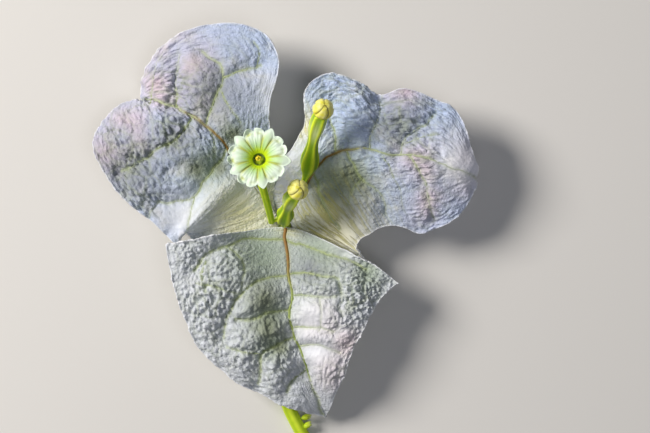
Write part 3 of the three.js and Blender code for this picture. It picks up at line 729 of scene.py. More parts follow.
def grown_out(x, y):
    """0 at the junction, where the tissue is smooth, and 1 further out."""
    return 1 - np.exp(-((np.hypot(x, y) / SMOOTH_BASE_RADIUS) ** 4))


def tip_fade(along):
    """1 over most of a blade, falling to 0 at its tip, as a column of rows."""
    return np.minimum(1, (1 - along) * TIP_FADE_ROWS)[:, None]


def blade_middle(bract, along, across):
    """The middle surface of a blade, without its fine relief, as rows and columns of points."""
    mid, left, right = (
        smooth_curve([*side, bract["tip"]], along) for side in zip(*bract["stations"]))
    reach = np.abs(across)
    on_left = (across < 0)[:, None]
    foot, *corners = bract["stations"][0]
    base = np.where(on_left, *(
        smooth_curve([foot, *bract[side], corner], reach)
        for side, corner in zip(("left_base", "right_base"), corners)))
    margin = np.where(on_left[None], left[:, None], right[:, None])
    middle = mid[:, None] + (margin - mid[:, None]) * reach[None, :, None]
    bow = base - middle[0]
    middle = middle + bow[None] * (1 - along)[:, None, None] ** BASE_EDGE_FADE
    x, y = middle[..., 0], middle[..., 1]
    swell = 1 - bell(distance_to_lines(x, y, bract["veins"]), SWELL_REACH)
    channel = 1 - bell(distance_to_lines(x, y, [midrib_line(bract)]), CHANNEL_REACH)
    relief = bract["swell"] * swell + bract["channel"] * channel * (1 - reach[None] ** 2)
    for height, width, line in bract["folds"]:
        relief += height * bell(distance_to_lines(x, y, [line]), width)
    middle[..., 2] += tip_fade(along) * grown_out(x, y) * relief
    return middle


def surface_normals(points):
    """Unit normals of a grid of points. Where a row shrinks to a point it takes the next row's."""
    normals = np.cross(np.gradient(points, axis=1), np.gradient(points, axis=0))
    length = np.linalg.norm(normals, axis=2, keepdims=True)
    normals = normals / np.maximum(length, 1e-12)
    normals[-1] = normals[-2]
    return normals


def blade_sheet(bract, settings):
    """The upper face of a blade with its fine relief, and what is painted on it."""
    thickness, pillow, pitch = settings.thickness / MM, settings.pillow / MM, settings.pitch / MM
    along = crowded(settings.rows, BASE_CROWDING, 0.0)
    half = crowded(settings.columns // 2, 0.0, MARGIN_CROWDING)
    across = np.concatenate([-half[:0:-1], half])
    middle = blade_middle(bract, along, across)
    x, y = middle[..., 0], middle[..., 1]
    seed = bract["seed"]
    patches = {name: patch(x, y, bract[name]) for name in PATCHES}
    cream, bullate = patches["cream"], patches["bullate"]

    # Distances from the margin and from the drawn veins
    edge = distance_to_lines(x, y, [middle[:, 0, :2], middle[:, -1, :2], middle[0, :, :2]])
    rib, side, fine = (
        distance_to_lines(x, y, [wandering(line) for line in lines])
        for lines in (
            [midrib_line(bract) + [bract["tip"][:2]]], bract["veins"], bract["fine_veins"]))
    main = np.minimum(rib, side)

    # Nets between the drawn veins, and the crowns that swell in their meshes
    warp_x = x + waves(x, y, seed, WARP_X)
    warp_y = y + waves(x, y, seed, WARP_Y)
    off_vein = (1 - bell(main, 0.4)) * (1 - 0.7 * bell(fine, 0.35))
    nets, crowns, swells = {}, {}, {}
    for name, (size, width, rise, more) in NETS.items():
        nets[name] = net_distance(warp_x, warp_y, pitch * size, seed + more)
        crowns[name] = (1 - bell(nets[name], pitch * width)) * off_vein
        swells[name] = rise * crowns[name]

    # How lively the tissue is, and its relief
    grown = grown_out(x, y)
    calm = (1 - CALMING * cream) * (1 - CALMING * patches["smooth"])
    lively = grown * calm * (0.8 + waves(x, y, seed, LIVELINESS)) * tip_fade(along)
    lively = lively * (1 + bract["puckered"] * bullate)
    wrinkle = 1 - WRINKLE_SHARPNESS * np.abs(soft_noise(warp_x, warp_y, WRINKLE_PITCH, seed + 5))
    crumple = CRUMPLE_HEIGHT * (WRINKLE_SHARE * wrinkle + waves(x, y, seed, CRUMPLE))
    uneven = 0.8 + waves(x, y, seed, UNEVENNESS)
    coarse = swells["main"] * uneven + swells["wide"]
    delicate = (swells["small"] + crumple) * (1 + BULLATE_GAIN * bullate)
    height = lively * pillow * (coarse + delicate)
    streak = soft_noise(
        along[:, None] * STREAKS_ALONG, across[None] * STREAKS_ACROSS, 1.0, seed + 7)
    combed = COMBED_STREAKS * patches["combed"]
    height = height + (BASE_STREAKS * (1 - grown) + CREAM_STREAKS * cream + combed) * streak
    for distance, (rise, width) in ((main, MAIN_FURROW), (fine, FINE_FURROW), (edge, RIM_ROLL)):
        height = height + rise * bell(distance, width)
    ripple = waves(x, y, seed, MARGIN_RIPPLE) * bell(edge, RIPPLE_WIDTH)
    height = height + ripple * step(np.hypot(x, y), *RIPPLE_START)

    points = middle + surface_normals(middle) * (height + thickness / 2)[..., None]
    points[..., 2] = np.maximum(points[..., 2], thickness + FLOOR_GAP)
    rust = bract["rust_reach"]
    away = dict(main=main, fine=fine, rib=rib, net=nets["main"], wide_net=nets["wide"], rim=edge)
    line = {name: bell(away[name], width) for name, width in PAINT_WIDTHS.items()}
    painted = {name: patches[name] for name in PAINTED_PATCHES} | {
        "along": np.broadcast_to(along[:, None], x.shape),
        "across": np.broadcast_to(across[None], x.shape),
        "vein": np.maximum(line["main"], 0.7 * line["fine"]),
        # The finest veins, also painted shade in the furrows between the pillows
        "net": np.maximum(line["wide_net"], 0.6 * line["net"]) * lively,
        "striped": cream * bract["striped"],
        # Painted highlight: whiter on the tops of the pillows
        "crown_highlight": crowns["main"] * (0.4 + 0.6 * crowns["small"]) * lively,
        # Painted highlight: whiter along the margin
        "rim": line["rim"],
        "blush": patches["blush"] * (0.75 + waves(x, y, seed, BLUSH_CLOUDS)),
        "cool": np.full(x.shape, bract["coolness"]),
        "rust": step(along, rust + 0.08, rust - 0.1)[:, None] * line["rib"],
    }
    return points, painted


def add_sheet(bm, points, painted):
    """Adds a grid moved to rows and columns of points, painted, with its seam and poles merged."""
    floats = bm.verts.layers.float
    layers = {name: floats.get(name) or floats.new(name) for name in painted}
    rows, columns = points.shape[0] - 1, points.shape[1] - 1
    made = bmesh.ops.create_grid(bm, x_segments=columns, y_segments=rows, size=0.5)["verts"]
    for vertex in made:
        row = round((vertex.co.y + 0.5) * rows)
        column = round((vertex.co.x + 0.5) * columns)
        vertex.co = points[row, column]
        for name, layer in layers.items():
            vertex[layer] = painted[name][row, column]
    bmesh.ops.remove_doubles(bm, verts=made, dist=MERGE_DISTANCE)


def tube_grid(count, sides):
    """How far along a tube each row lies, from 0 to 1, and at what angle each column."""
    return np.linspace(0, 1, count)[:, None], np.linspace(0, FULL_TURN, sides + 1)[None]


def tube_points(path, radii, sides, factor, reference):
    """Rows of points of a round tube along a path, shaped by a factor and closed by a pole."""
    tangent = np.gradient(path, axis=0)
    tangent /= np.linalg.norm(tangent, axis=1, keepdims=True)
    up = np.cross(np.asarray(reference)[None], tangent)
    up /= np.linalg.norm(up, axis=1, keepdims=True)
    right = np.cross(tangent, up)
    angle = tube_grid(1, sides)[1][..., None]
    offset = right[:, None] * np.cos(angle) + up[:, None] * np.sin(angle)
    rows = path[:, None] + offset * (radii[:, None] * factor)[..., None]
    first, last = (np.repeat(end[:, None], sides + 1, axis=1) for end in (path[:1], path[-1:]))
    return np.concatenate([first, rows, last])


def add_tube(bm, path, radii, sides, painted, factor=1.0, reference=(1.0, 0.0, 0.0)):
    """Adds a closed tube along a path. Its factor and paint are given by row and column."""
    points = tube_points(path, radii, sides, factor, reference)
    spread = {}
    for name, value in painted.items():
        rows = np.broadcast_to(value, (len(path), sides + 1))
        spread[name] = np.concatenate([rows[:1], rows, rows[-1:]])
    add_sheet(bm, points, spread)


def mesh_object(name, bm, material):
    """Turns a bmesh into an object of the scene."""
    mesh = bpy.data.meshes.new(name)
    bm.to_mesh(mesh)
    bm.free()
    mesh.materials.append(material)
    made = bpy.data.objects.new(name, mesh)
    bpy.context.scene.collection.objects.link(made)
    return made


def piece(name, bm, material, nodes=(), closed=True):
    """Turns a bmesh drawn in millimetres from the junction into a piece in the frame."""
    if closed:
        bmesh.ops.recalc_face_normals(bm, faces=bm.faces)
    bmesh.ops.translate(bm, verts=bm.verts, vec=JUNCTION)
    bmesh.ops.scale(bm, verts=bm.verts, vec=Vector((MM, MM, MM)))
    made = mesh_object(name, bm, material)
    made.data.polygons.foreach_set("use_smooth", [True] * len(made.data.polygons))
    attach(made, "root")
    if nodes:
        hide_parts(*nodes)
    return made


def sheet_piece(name, sheet, material, node, thickness):
    """Makes a piece of a sheet's upper face, with a wall below it, and gives its search tree."""
    bm = bmesh.new()
    add_sheet(bm, *sheet)
    tree = BVHTree.FromBMesh(bm)
    made = piece(name, bm, material, [node], closed=False)
    wall = made.modifiers.new("Thickness", "SOLIDIFY")
    wall.thickness = thickness
    wall.offset = -1.0
    return tree


def paper_finish(settings):
    """Papery tissue: cool white, pinker outwards and cream at the base, with green veins."""
    finish = Finish("bract_paper", Sheen_Weight=0.15, Specular_IOR_Level=0.42)
    paint = finish.painted
    grain = finish.noise(1.6, 4.0)
    stripes = finish.streaks().ramp(0.46, 0.58) * paint("striped")
    green = paint("vein") * (1.0 - paint("faded") * 0.6) * grain.ramp(0.2, 0.6)
    colour = finish.coats(
        settings.warm,
        (paint("cool") * finish.noise(0.16).ramp(0.25, 0.5), settings.cool),
        # Painted highlight: the tops of the pillows whiter
        (paint("crown_highlight") * grain.ramp(0.3, 0.75) * 0.85, settings.crown_highlight),
        (paint("blush") * 0.7, settings.blush),
        # Painted highlight: the smooth patches whiter, as well as calmer in relief
        (paint("smooth") * 0.7, settings.crown_highlight),
        (paint("cream") * 0.85, settings.cream),
        # Partly the tissue's green tint, partly painted shade: the green patches
        (paint("green") * 0.75, settings.green),
        # Painted shade: the grey patches darker
        (paint("grey_shade") * 0.85, settings.grey_shade),
        # Painted shade: the olive patches darkest
        (paint("olive") * 0.75, settings.olive),
        (stripes, settings.stripe),
        # Fine veins, partly painted shade in the furrows
        (paint("net") * 0.35, settings.net),
        (green * 0.75, settings.vein),
        (paint("rust") * 0.7, settings.rust),
        # Painted highlight along the rim
        (paint("rim") * 0.8, settings.crown_highlight))
    relief = grain * 0.6 + finish.noise(3.0, 2.0) * 0.4
    relief = relief * (1.0 - paint("smooth") * 0.7) + stripes * 0.5
    return finish.done(
        Base_Color=colour, Roughness=0.5 + grain * 0.14, Normal=finish.bump(relief, 0.45))


def vein_finish(settings):
    """The midrib and side veins: rust brown near the base and green further out."""
    finish = Finish("bract_vein", Specular_IOR_Level=0.35)
    paint = finish.painted
    grain = finish.noise(1.3)
    colour = finish.coats(
        settings.vein,
        (grain.ramp(0.35, 0.7), settings.vein_shade),
        (paint("faded") * 0.75, settings.warm),
        (paint("rust"), settings.rust),
        (grain.ramp(0.5, 0.8) * paint("rust") * 0.4, settings.vein))
    return finish.done(
        Base_Color=colour, Roughness=0.5 + grain * 0.15, Normal=finish.bump(grain, 0.05))


def rib_finish(settings):
    """Fresh green of stalks and buds, brighter on the ribs: partly their own paler green, partly
    painted highlight.
    """
    finish = Finish("fresh_green", Specular_IOR_Level=0.3)
    grain = finish.noise(0.9, 4.0)
    colour = finish.coats(
        settings.deep,
        (finish.painted("rib") * (0.6 + grain * 0.5), settings.bright),
        (finish.painted("pale") * 0.7, settings.pale))
    return finish.done(
        Base_Color=colour, Roughness=0.36 + grain * 0.16, Normal=finish.bump(grain, 0.06))


def knob_finish(settings):
    """Yellow knob of a bud with brown creases and painted highlights on its lobes."""
    finish = Finish("knob_yellow", Specular_IOR_Level=0.6)
    paint = finish.painted
    grain = finish.noise(1.1, 4.0)
    colour = finish.coats(
        settings.knob,
        (grain.ramp(0.35, 0.7) * 0.5, settings.knob_shade),
        # Painted highlight on the lobes' crowns
        (paint("lobe") * grain.ramp(0.3, 0.6) * 0.7, settings.knob_highlight),
        (paint("foot") * 0.8, settings.bright),
        (paint("crease"), settings.crease))
    return finish.done(
        Base_Color=colour, Roughness=0.32 + grain * 0.15, Normal=finish.bump(grain, 0.07))


def limb_finish(settings):
    """Waxy lobes, white at their tips, with olive folds and a yellow-green throat, and painted
    shade in the curled tips' pockets and down the well.
    """
    finish = Finish("limb_wax", Specular_IOR_Level=0.4, Sheen_Weight=0.1)
    paint = finish.painted
    grain = finish.noise(1.0, 4.0)
    colour = finish.coats(
        settings.green,
        (paint("tip") * (0.75 + grain * 0.5), settings.white),
        (paint("vein") * 0.15, settings.green),
        # Painted shade inside the curled tips
        (paint("pocket_shade") * 0.8, settings.fold),
        (paint("fold") * 0.85, settings.fold),
        (paint("throat"), settings.throat),
        # Darker down the well: partly its own green, partly painted shade
        (paint("well"), settings.well))
    return finish.done(
        Base_Color=colour, Roughness=0.5 + grain * 0.15, Normal=finish.bump(grain, 0.08))


def anther_finish(settings):
    """Yellow anthers under a brown dust."""
    finish = Finish("anther_dust", Specular_IOR_Level=0.2)
    grain = finish.noise(6.0, 2.0)
    colour = finish.coats(settings.anther, (grain.ramp(0.45, 0.75) * 0.5, settings.dust))
    return finish.done(
        Base_Color=colour, Roughness=0.75 + grain * 0.1, Normal=finish.bump(grain, 0.05))


def floor_finish(settings):
    """Pale matt surface with faint clouds."""
    finish = Finish("pale_floor", Roughness=0.8, Specular_IOR_Level=0.2)
    clouds = finish.noise(0.02, 2.0)
    return finish.done(
        Base_Color=finish.coats(settings.floor, (clouds * 0.25, settings.floor_shade)))


def vein_path(line, tree):
    """A vein's line in plan laid on the blade below it."""
    path = []
    for x, y in wandering(line):
        hit = tree.ray_cast(Vector((x, y, ABOVE_ALL)), Vector((0, 0, -1)))[0]
        if hit is not None:
            path.append(hit)
    path = np.array(path)
    for places in path.T:
        places[1:-1] = (places[:-2] + 2 * places[1:-1] + places[2:]) / 4
    return path


def add_vein(bm, line, tree, radii, faded, rust=-1.0, hidden=-1.0, fade=1.0):
    """Adds a vein, half sunk in the blade and thinning to its end. Along it, it is pale as far as
    hidden says, then rust brown as far as rust says, and green from there on, paler by fade."""
    path = vein_path(line, tree)
    t = np.linspace(0, 1, len(path))
    thick, thin = radii
    rounded = np.sqrt(np.clip((1 - t) * 12, 0, 1))
    radius = (thick + (thin - thick) * t) * rounded + 0.004
    path[:, 2] -= VEIN_SINK * radius
    brown = step(t, rust + 0.1, rust - 0.14) * step(t, hidden - 0.02, hidden + 0.05)
    pale = np.maximum(patch(path[:, 0], path[:, 1], faded), 0.25 + 0.4 * step(t, 0.4, 1.0))
    pale = np.maximum(pale * fade, step(t, hidden + 0.05, hidden - 0.02))
    painted = {"rust": brown[:, None], "faded": pale[:, None]}
    add_tube(bm, path, radius, 8, painted, reference=(0.0, 0.0, 1.0))


class CYME_OT_bracts(bpy.types.Operator):
    """Builds the three papery bracts with their veins"""

    bl_idname = "cyme.bracts"
    bl_label = "Bracts"

    def execute(self, context):
        settings = context.scene.cyme_bracts
        paper = paper_finish(settings)
        vein = vein_finish(settings)
        for node, bract in BRACTS.items():
            tree = sheet_piece(
                node + "_blade", blade_sheet(bract, settings), paper, node,
                settings.thickness)
            self.veins(node, bract, tree, vein)
        return {"FINISHED"}

    def veins(self, node, bract, tree, material):
        """Lays the midrib and the drawn veins on a blade."""
        bm = bmesh.new()
        rib = bract["rib_radius"]
        add_vein(
            bm, midrib_line(bract), tree, (rib, MIDRIB_TAPER * rib), bract["faded"],
            bract["rust_reach"], bract["hidden"], bract["rib_fade"])
        for kind, radii in (("veins", SIDE_VEIN_RADII), ("fine_veins", FINE_VEIN_RADII)):
            for line in bract[kind]:
                add_vein(bm, line, tree, radii, bract["faded"])
        piece(node + "_veins", bm, material)


def limb_turn():
    """The turn that sets the limb's axis upright in the frame on its own axis."""
    return Vector((0, 0, 1)).rotation_difference(Vector(LIMB_AXIS)).to_matrix()


def limb_sheet(settings):
    """The spread limb: five narrow keeled lobes and five wide two-scalloped ones between them."""
    sectors, rings, well_rings = LIMB_FACES
    spread, angle = tube_grid(rings + 1, sectors)

    # Which lobe each sector is in, and how far it is from the lobe's folds and middle
    turned = angle - LOBE_TURN + LOBE_PITCH / 2
    phi = turned % LOBE_PITCH - LOBE_PITCH / 2
    lobe = np.floor(turned / LOBE_PITCH).astype(int) % PARTS
    half = np.where(phi < 0, 0, 1)
    narrow = np.abs(phi) < FOLD_ANGLE
    from_fold = np.abs(phi) - FOLD_ANGLE
    across = np.clip(np.abs(phi) / FOLD_ANGLE, 0, 1)
    from_middle = np.clip((LOBE_PITCH / 2 - np.abs(phi)) / (LOBE_PITCH / 2 - FOLD_ANGLE), 0, 1)

    # How far out each lobe reaches
    scallop = bell(from_middle - 0.52, 0.3)
    cup = np.where(narrow, 0.0, np.array(CURLED_TIPS)[lobe, half]) * scallop
    reaches = np.random.default_rng(5).uniform(0.96, 1.03, (PARTS, 3))
    vary = 1 + (reaches[lobe, np.where(narrow, 2, half)] - 1) * (1 - across ** 8)
    narrow_reach = 1.05 - 0.2 * across ** 1.3
    frill = 0.012 * soft_noise(angle * 9, 0 * angle, 1.0, 4)
    wide_reach = 0.97 - 0.08 * bell(from_middle, 0.1) - 0.12 * from_middle ** 5 + frill
    reach = settings.reach / MM * np.where(narrow, narrow_reach, wide_reach) * vary
    radial = THROAT_RADIUS + spread * (reach - THROAT_RADIUS)

    # How high the limb stands, from the funnel out to the tips
    fold = bell(from_fold, math.radians(2.8))
    keel = np.where(narrow, 1 - across ** 2, 0.0)
    crease = np.where(narrow, 0.0, bell(from_middle, 0.14))
    pleats = np.cos(from_middle * PLEATS)
    height = -FUNNEL_DEPTH * (1 - spread) ** 3 - TIP_DROOP * spread ** 3
    height = height - FOLD_DEPTH * fold * step(spread, 0.03, 0.3) * step(spread, 1.0, 0.7)
    height = height + KEEL_HEIGHT * keel * np.sin(math.pi * spread ** 0.7)
    height = height - CREASE_DEPTH * crease * step(spread, 0.4, 1.0)
    height = height + TIP_LIFT * step(spread, 0.9, 1.0)
    height = height + PLEAT_HEIGHT * pleats * step(spread, 0.3, 0.6)
    height = height - 0.3 * cup * bell(spread - 0.84, 0.09) + 0.6 * cup * step(spread, 0.86, 1.0)

    # The well below the throat, in rings from its bottom up
    depth = np.linspace(1, 0, well_rings, endpoint=False)[:, None]
    none = np.zeros((well_rings, sectors + 1))
    radial = np.concatenate([THROAT_RADIUS - 0.2 * depth ** 0.6 + none, radial])
    height = np.concatenate([-FUNNEL_DEPTH - WELL_DEPTH * depth + none, height])
    flat = np.stack([radial * np.cos(angle), radial * np.sin(angle), height], axis=2)
    points = flat @ np.array(limb_turn()).T + np.array(LIMB_CENTRE)

    rays = 0.25 * soft_noise(angle * 14, 0 * angle, 1.0, 3)
    keel_tip = 0.45 + 0.5 * step(spread, 0.55, 0.9)
    fold_paint = bell(from_fold, math.radians(5))
    shown = {
        "tip": step(spread, 0.15, 0.75) * np.where(narrow, keel_tip, 1.0),
        "fold": fold_paint * step(spread, 0.0, 0.1) * step(spread, 0.95, 0.6),
        # Painted shade in the pockets that the curled tips make
        "pocket_shade": cup * bell(spread - 0.8, 0.07),
        "vein": np.where(narrow, 0, 0.5 + 0.5 * pleats) * step(spread, 0.9, 0.3),
        "throat": step(spread + rays * spread, 0.36, 0.1),
    }
    painted = {name: np.concatenate([none, values]) for name, values in shown.items()}
    painted["throat"][:well_rings] = 0.6
    # Painted shade, darkest at the bottom of the well
    well = [step(depth, 0.0, 0.25) + none, step(spread, 0.05, 0.0) + 0 * angle]
    painted["well"] = np.concatenate(well)
    return points[:, ::-1], {name: values[:, ::-1] for name, values in painted.items()}


class CYME_OT_flower(bpy.types.Operator):
    """Builds the open flower: tube, limb, anthers and stigma"""

    bl_idname = "cyme.flower"
    bl_label = "Open flower"

    def execute(self, context):
        settings = context.scene.cyme_flower
        self.tube(rib_finish(context.scene.cyme_stalk))
        sheet_piece(
            "open_flower_limb", limb_sheet(settings), limb_finish(settings),
            "flower_limb", settings.thickness)
        self.anthers(settings)
        return {"FINISHED"}

    def tube(self, material):
        """The five-ribbed tube under the limb, and the twig at its foot."""
        bm = bmesh.new()
        rows, sides = FLOWER_TUBE_FACES
        t, angle = tube_grid(rows, sides)
        ribs = np.cos(PARTS * angle)
        path, radii = even_curve(FLOWER_TUBE_PATH, rows), smooth_numbers(FLOWER_TUBE_RADII, rows)
        add_tube(
            bm, path, radii, sides, {"rib": 0.5 + 0.35 * ribs + 0.15 * t, "pale": 0.0},
            1 + 0.05 * ribs)
        rows, sides = FLOWER_TWIG_FACES
        twig = even_curve(FLOWER_TWIG_PATH, rows)
        add_tube(bm, twig, np.full(rows, TWIG_RADIUS), sides, {"rib": 0.9, "pale": 0.0})
        piece("open_flower_tube", bm, material, ["flower_tube"])

    def anthers(self, settings):
        """Five anthers of two halves each, standing round the stigma in the throat."""
        bm = bmesh.new()
        for i in range(PARTS):
            angle = FULL_TURN * (i + 0.3) / PARTS
            x, y = ANTHER_RING * math.cos(angle), ANTHER_RING * math.sin(angle)
            z = -0.62 - 0.05 * (i % 3)
            for side in (-ANTHER_HALF_GAP, ANTHER_HALF_GAP):
                place = (x - side * math.sin(angle), y + side * math.cos(angle), z)
                self.round_body(bm, (12, 8), ANTHER_RADIUS, (1, 1, 1.7), place)
        self.round_body(bm, (16, 10), STIGMA_RADIUS, (0.9, 0.9, 1.8), (-0.05, 0.05, -0.5))
        bmesh.ops.rotate(bm, verts=bm.verts, cent=(0, 0, 0), matrix=limb_turn())
        bmesh.ops.translate(bm, verts=bm.verts, vec=LIMB_CENTRE)
        piece("open_flower_anthers", bm, anther_finish(settings), ["flower_anthers"])

    def round_body(self, bm, faces, radius, stretch, place):
        """Adds one stretched round body."""
        made = bmesh.ops.create_uvsphere(
            bm, u_segments=faces[0], v_segments=faces[1], radius=radius)["verts"]
        bmesh.ops.scale(bm, verts=made, vec=stretch)
        bmesh.ops.translate(bm, verts=made, vec=place)


class CYME_OT_buds(bpy.types.Operator):
    """Builds the two buds: ribbed bodies and creased yellow knobs"""

    bl_idname = "cyme.buds"
    bl_label = "Buds"

    def execute(self, context):
        settings = context.scene.cyme_stalk
        green = rib_finish(settings)
        yellow = knob_finish(settings)
        for name, bud in BUDS.items():
            self.body(name, bud, green)
            self.knob(name, bud, yellow)
        return {"FINISHED"}

    def body(self, name, bud, material):
        """The tube of a bud, swollen below and drawn in at the neck, with five twisted ribs."""
        bm = bmesh.new()
        rows, sides = BUD_BODY_FACES
        t, angle = tube_grid(rows, sides)
        radii = smooth_numbers(bud["radii"], rows)
        turned = PARTS * (angle + BODY_TWIST * t)
        ridge = np.abs(np.cos(turned / 2)) ** 4
        swollen = np.clip(radii[:, None] - 0.7, 0, 0.8) / 0.8
        factor = 0.91 + RIDGE_HEIGHT * ridge + 0.008 * np.cos(4 * turned) * swollen
        neck = bell(t - 0.8, 0.12)
        painted = {
            # Ridges painted brighter: partly their own colour, partly painted highlight
            "rib": 0.1 + 0.9 * ridge + 0.25 * neck,
            "pale": neck * (1 - ridge) * 0.9 + 0.3 * step(t, 0.1, 0.0),
        }
        add_tube(bm, even_curve(bud["path"], rows), radii, sides, painted, factor)
        piece(name + "_body", bm, material, [name + "_tube"])

    def knob(self, name, bud, material):
        """The closed limb of a bud: five lobes with creases between them, some deeper."""
        bm = bmesh.new()
        rows, sides = BUD_KNOB_FACES
        t, angle = tube_grid(rows, sides)
        turned = (angle / FULL_TURN * PARTS + 0.5 + KNOB_TWIST * t ** 2) % PARTS
        away = np.abs(turned % 1 - 0.5)
        strength = np.array(CREASE_STRENGTHS)[np.floor(turned).astype(int) % PARTS]
        lobe = 1 - (2 * np.abs(away - 0.25)) ** 2
        closing = np.sqrt(np.clip(1 - ((t - KNOB_CLOSING) / (1 - KNOB_CLOSING)) ** 2, 0, 1))
        radii = smooth_numbers(KNOB_RADII, rows)[:, None]
        closed = np.minimum(radii, 1.56 * closing ** 0.8 + 0.02)
        radii = np.where(t > KNOB_CLOSING, closed, radii)
        from_crease = away * FULL_TURN / PARTS * radii
        crease = strength * bell(from_crease, CREASE_WIDTH) * step(t, 0.25, 0.5)
        groove = bell(from_crease, GROOVE_WIDTH) * step(t, 0.15, 0.45)
        factor = 1.02 + 0.08 * lobe * step(t, 0.1, 0.4) - 0.1 * groove - 0.06 * crease
        # lobe: where the lobes' crowns get the painted highlight
        painted = {"crease": crease, "foot": step(t, 0.3, 0.05), "lobe": lobe * step(t, 0.2, 0.5)}
        add_tube(bm, even_curve(bud["knob"], rows), radii[:, 0], sides, painted, factor)
        piece(name + "_head", bm, material, [name + "_knob"])


class CYME_OT_peduncle(bpy.types.Operator):
    """Builds the peduncle with its receptacle and axillary buds"""

    bl_idname = "cyme.peduncle"
    bl_label = "Peduncle"

    def execute(self, context):
        settings = context.scene.cyme_stalk
        bm = bmesh.new()
        rows, sides = PEDUNCLE_FACES
        t, angle = tube_grid(rows, sides)
        radii = settings.radius / MM * (1 + 0.18 * step(t[:, 0], 0.06, 0.0))
        ribs = np.cos(PARTS * angle + 2 * t)
        factor = 1 + 0.02 * ribs + 0.008 * np.cos(11 * angle)
        painted = {"rib": 0.62 + 0.2 * ribs, "pale": step(t, 0.995, 1.0) * 0.8}
        add_tube(bm, even_curve(PEDUNCLE_PATH, rows), radii, sides, painted, factor)
        self.receptacle(bm)
        self.axillary_buds(bm)
        for vertex in bm.verts:
            vertex.co.z = max(vertex.co.z, 0.0)
        piece("peduncle_stalk", bm, rib_finish(settings), ["peduncle"])
        return {"FINISHED"}

    def receptacle(self, bm):
        """The swollen top of the peduncle, and the claws that the bracts stand on."""
        rows, sides = RECEPTACLE_FACES
        t = np.linspace(0, 1, rows)
        rounded = np.sqrt(np.clip(t * 8 * (1 - t) * 4, 0, 1))
        for path, radii in RECEPTACLE:
            radii = smooth_numbers(radii, rows) * rounded + 0.01
            add_tube(bm, even_curve(path, rows), radii, sides, {"rib": 0.6, "pale": 0.15})

    def axillary_buds(self, bm):
        """Two buds of three scales each, every scale a little shorter and turned on."""
        rows, sides = SCALE_FACES
        t = np.linspace(0, 1, rows)
        radii = 0.5 * np.sin(math.pi * np.clip(t, 0.02, 0.98)) ** 0.6 * (1 - 0.35 * t) + 0.01
        painted = {"rib": (0.5 + 0.4 * t)[:, None], "pale": step(t, 0.55, 1.0)[:, None] * 0.7}
        for foot, length, tilt in AXILLARY_BUDS:
            for k, turn in enumerate(SCALE_TURNS):
                out = length * (1 - 0.16 * k)
                end = np.add(foot, (
                    out * math.cos(tilt + 0.3 * math.cos(turn)),
                    out * math.sin(tilt) + 0.25 * math.cos(turn),
                    0.25 * math.sin(turn)))
                bulge = (0, 0.05 * k, 0.12 * math.sin(turn))
                path = even_curve([foot, np.add(foot, end) / 2 + bulge, end], rows)
                add_tube(bm, path, radii, sides, painted)


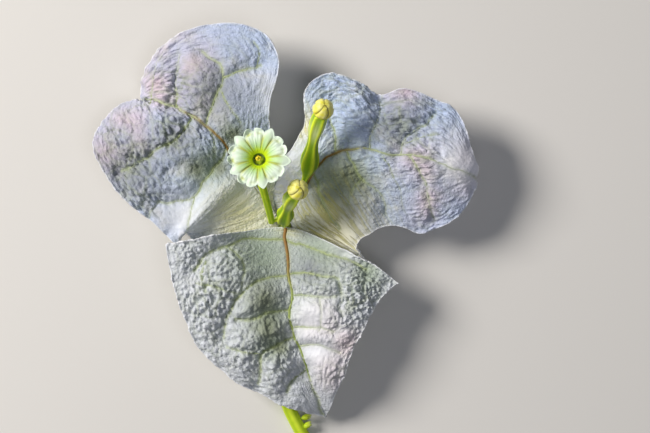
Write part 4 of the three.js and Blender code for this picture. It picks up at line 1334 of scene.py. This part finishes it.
class CYME_OT_stage(bpy.types.Operator):
    """Builds the pale surface, the soft lights and the camera"""

    bl_idname = "cyme.stage"
    bl_label = "Stage"

    def execute(self, context):
        settings = context.scene.cyme_stage
        self.floor(settings)
        self.light(context, "key_light", KEY_LIGHT, settings.key, settings.key_colour)
        self.light(context, "front_light", FRONT_LIGHT, settings.front, settings.front_colour)
        self.sky(context, settings)
        self.camera(context)
        context.scene.view_settings.view_transform = "Standard"
        return {"FINISHED"}

    def floor(self, settings):
        bm = bmesh.new()
        bmesh.ops.create_grid(bm, x_segments=8, y_segments=8, size=FLOOR_REACH)
        bmesh.ops.translate(bm, verts=bm.verts, vec=(0, 0, -FLOOR_GAP * MM))
        mesh_object("floor", bm, floor_finish(settings))

    def light(self, context, name, spot, power, colour):
        place, size = spot
        data = bpy.data.lights.new(name, "AREA")
        data.shape = "DISK"
        data.size = size
        data.energy = power
        data.color = colour
        lamp = bpy.data.objects.new(name, data)
        lamp.location = place
        aim = Vector(LIGHT_TARGET) - Vector(place)
        lamp.rotation_euler = aim.to_track_quat("-Z", "Y").to_euler()
        context.scene.collection.objects.link(lamp)

    def sky(self, context, settings):
        world = bpy.data.worlds.new("soft_sky")
        world.use_nodes = True
        background = world.node_tree.nodes["Background"]
        background.inputs["Color"].default_value = (*settings.sky_colour, 1.0)
        background.inputs["Strength"].default_value = settings.sky
        context.scene.world = world

    def camera(self, context):
        data = bpy.data.cameras.new("camera")
        data.sensor_width = SENSOR_WIDTH
        data.lens = SENSOR_WIDTH * CAMERA_PLACE[2] / VIEW_WIDTH
        data.clip_start = 0.01
        made = bpy.data.objects.new("camera", data)
        made.location = Vector(CAMERA_PLACE) * MM
        context.scene.collection.objects.link(made)
        context.scene.camera = made


class CYME_PT_panel(bpy.types.Panel):
    """Lists the cyme's settings and the operators that build it"""

    bl_label = "Bougainvillea"
    bl_idname = "CYME_PT_panel"
    bl_space_type = "VIEW_3D"
    bl_region_type = "UI"
    bl_category = "Bougainvillea"

    def draw(self, context):
        for title, group, kind, operators in GROUPS:
            box = self.layout.box()
            box.label(text=title)
            for name in kind.__annotations__:
                box.prop(getattr(context.scene, group), name)
            for operator in operators:
                box.operator(operator.bl_idname)


# Title, name of the settings on the scene, their class, and the operators that use them
GROUPS = (
    ("Stage", "cyme_stage", StageSettings, (CYME_OT_stage,)),
    ("Bracts", "cyme_bracts", BractSettings, (CYME_OT_bracts,)),
    ("Open flower", "cyme_flower", FlowerSettings, (CYME_OT_flower,)),
    ("Stalks and buds", "cyme_stalk", StalkSettings, (CYME_OT_buds, CYME_OT_peduncle)),
)
CLASSES = (
    *(kind for title, group, kind, operators in GROUPS),
    *(operator for title, group, kind, operators in GROUPS for operator in operators),
    CYME_PT_panel,
)


def register():
    for kind in CLASSES:
        bpy.utils.register_class(kind)
    for title, group, kind, operators in GROUPS:
        setattr(bpy.types.Scene, group, PointerProperty(type=kind))


def unregister():
    for title, group, kind, operators in GROUPS:
        delattr(bpy.types.Scene, group)
    for kind in reversed(CLASSES):
        bpy.utils.unregister_class(kind)


def main():
    register()
    bpy.ops.cyme.stage()
    bpy.ops.cyme.bracts()
    bpy.ops.cyme.flower()
    bpy.ops.cyme.buds()
    bpy.ops.cyme.peduncle()
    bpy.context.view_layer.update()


if __name__ == "__main__":
    main()
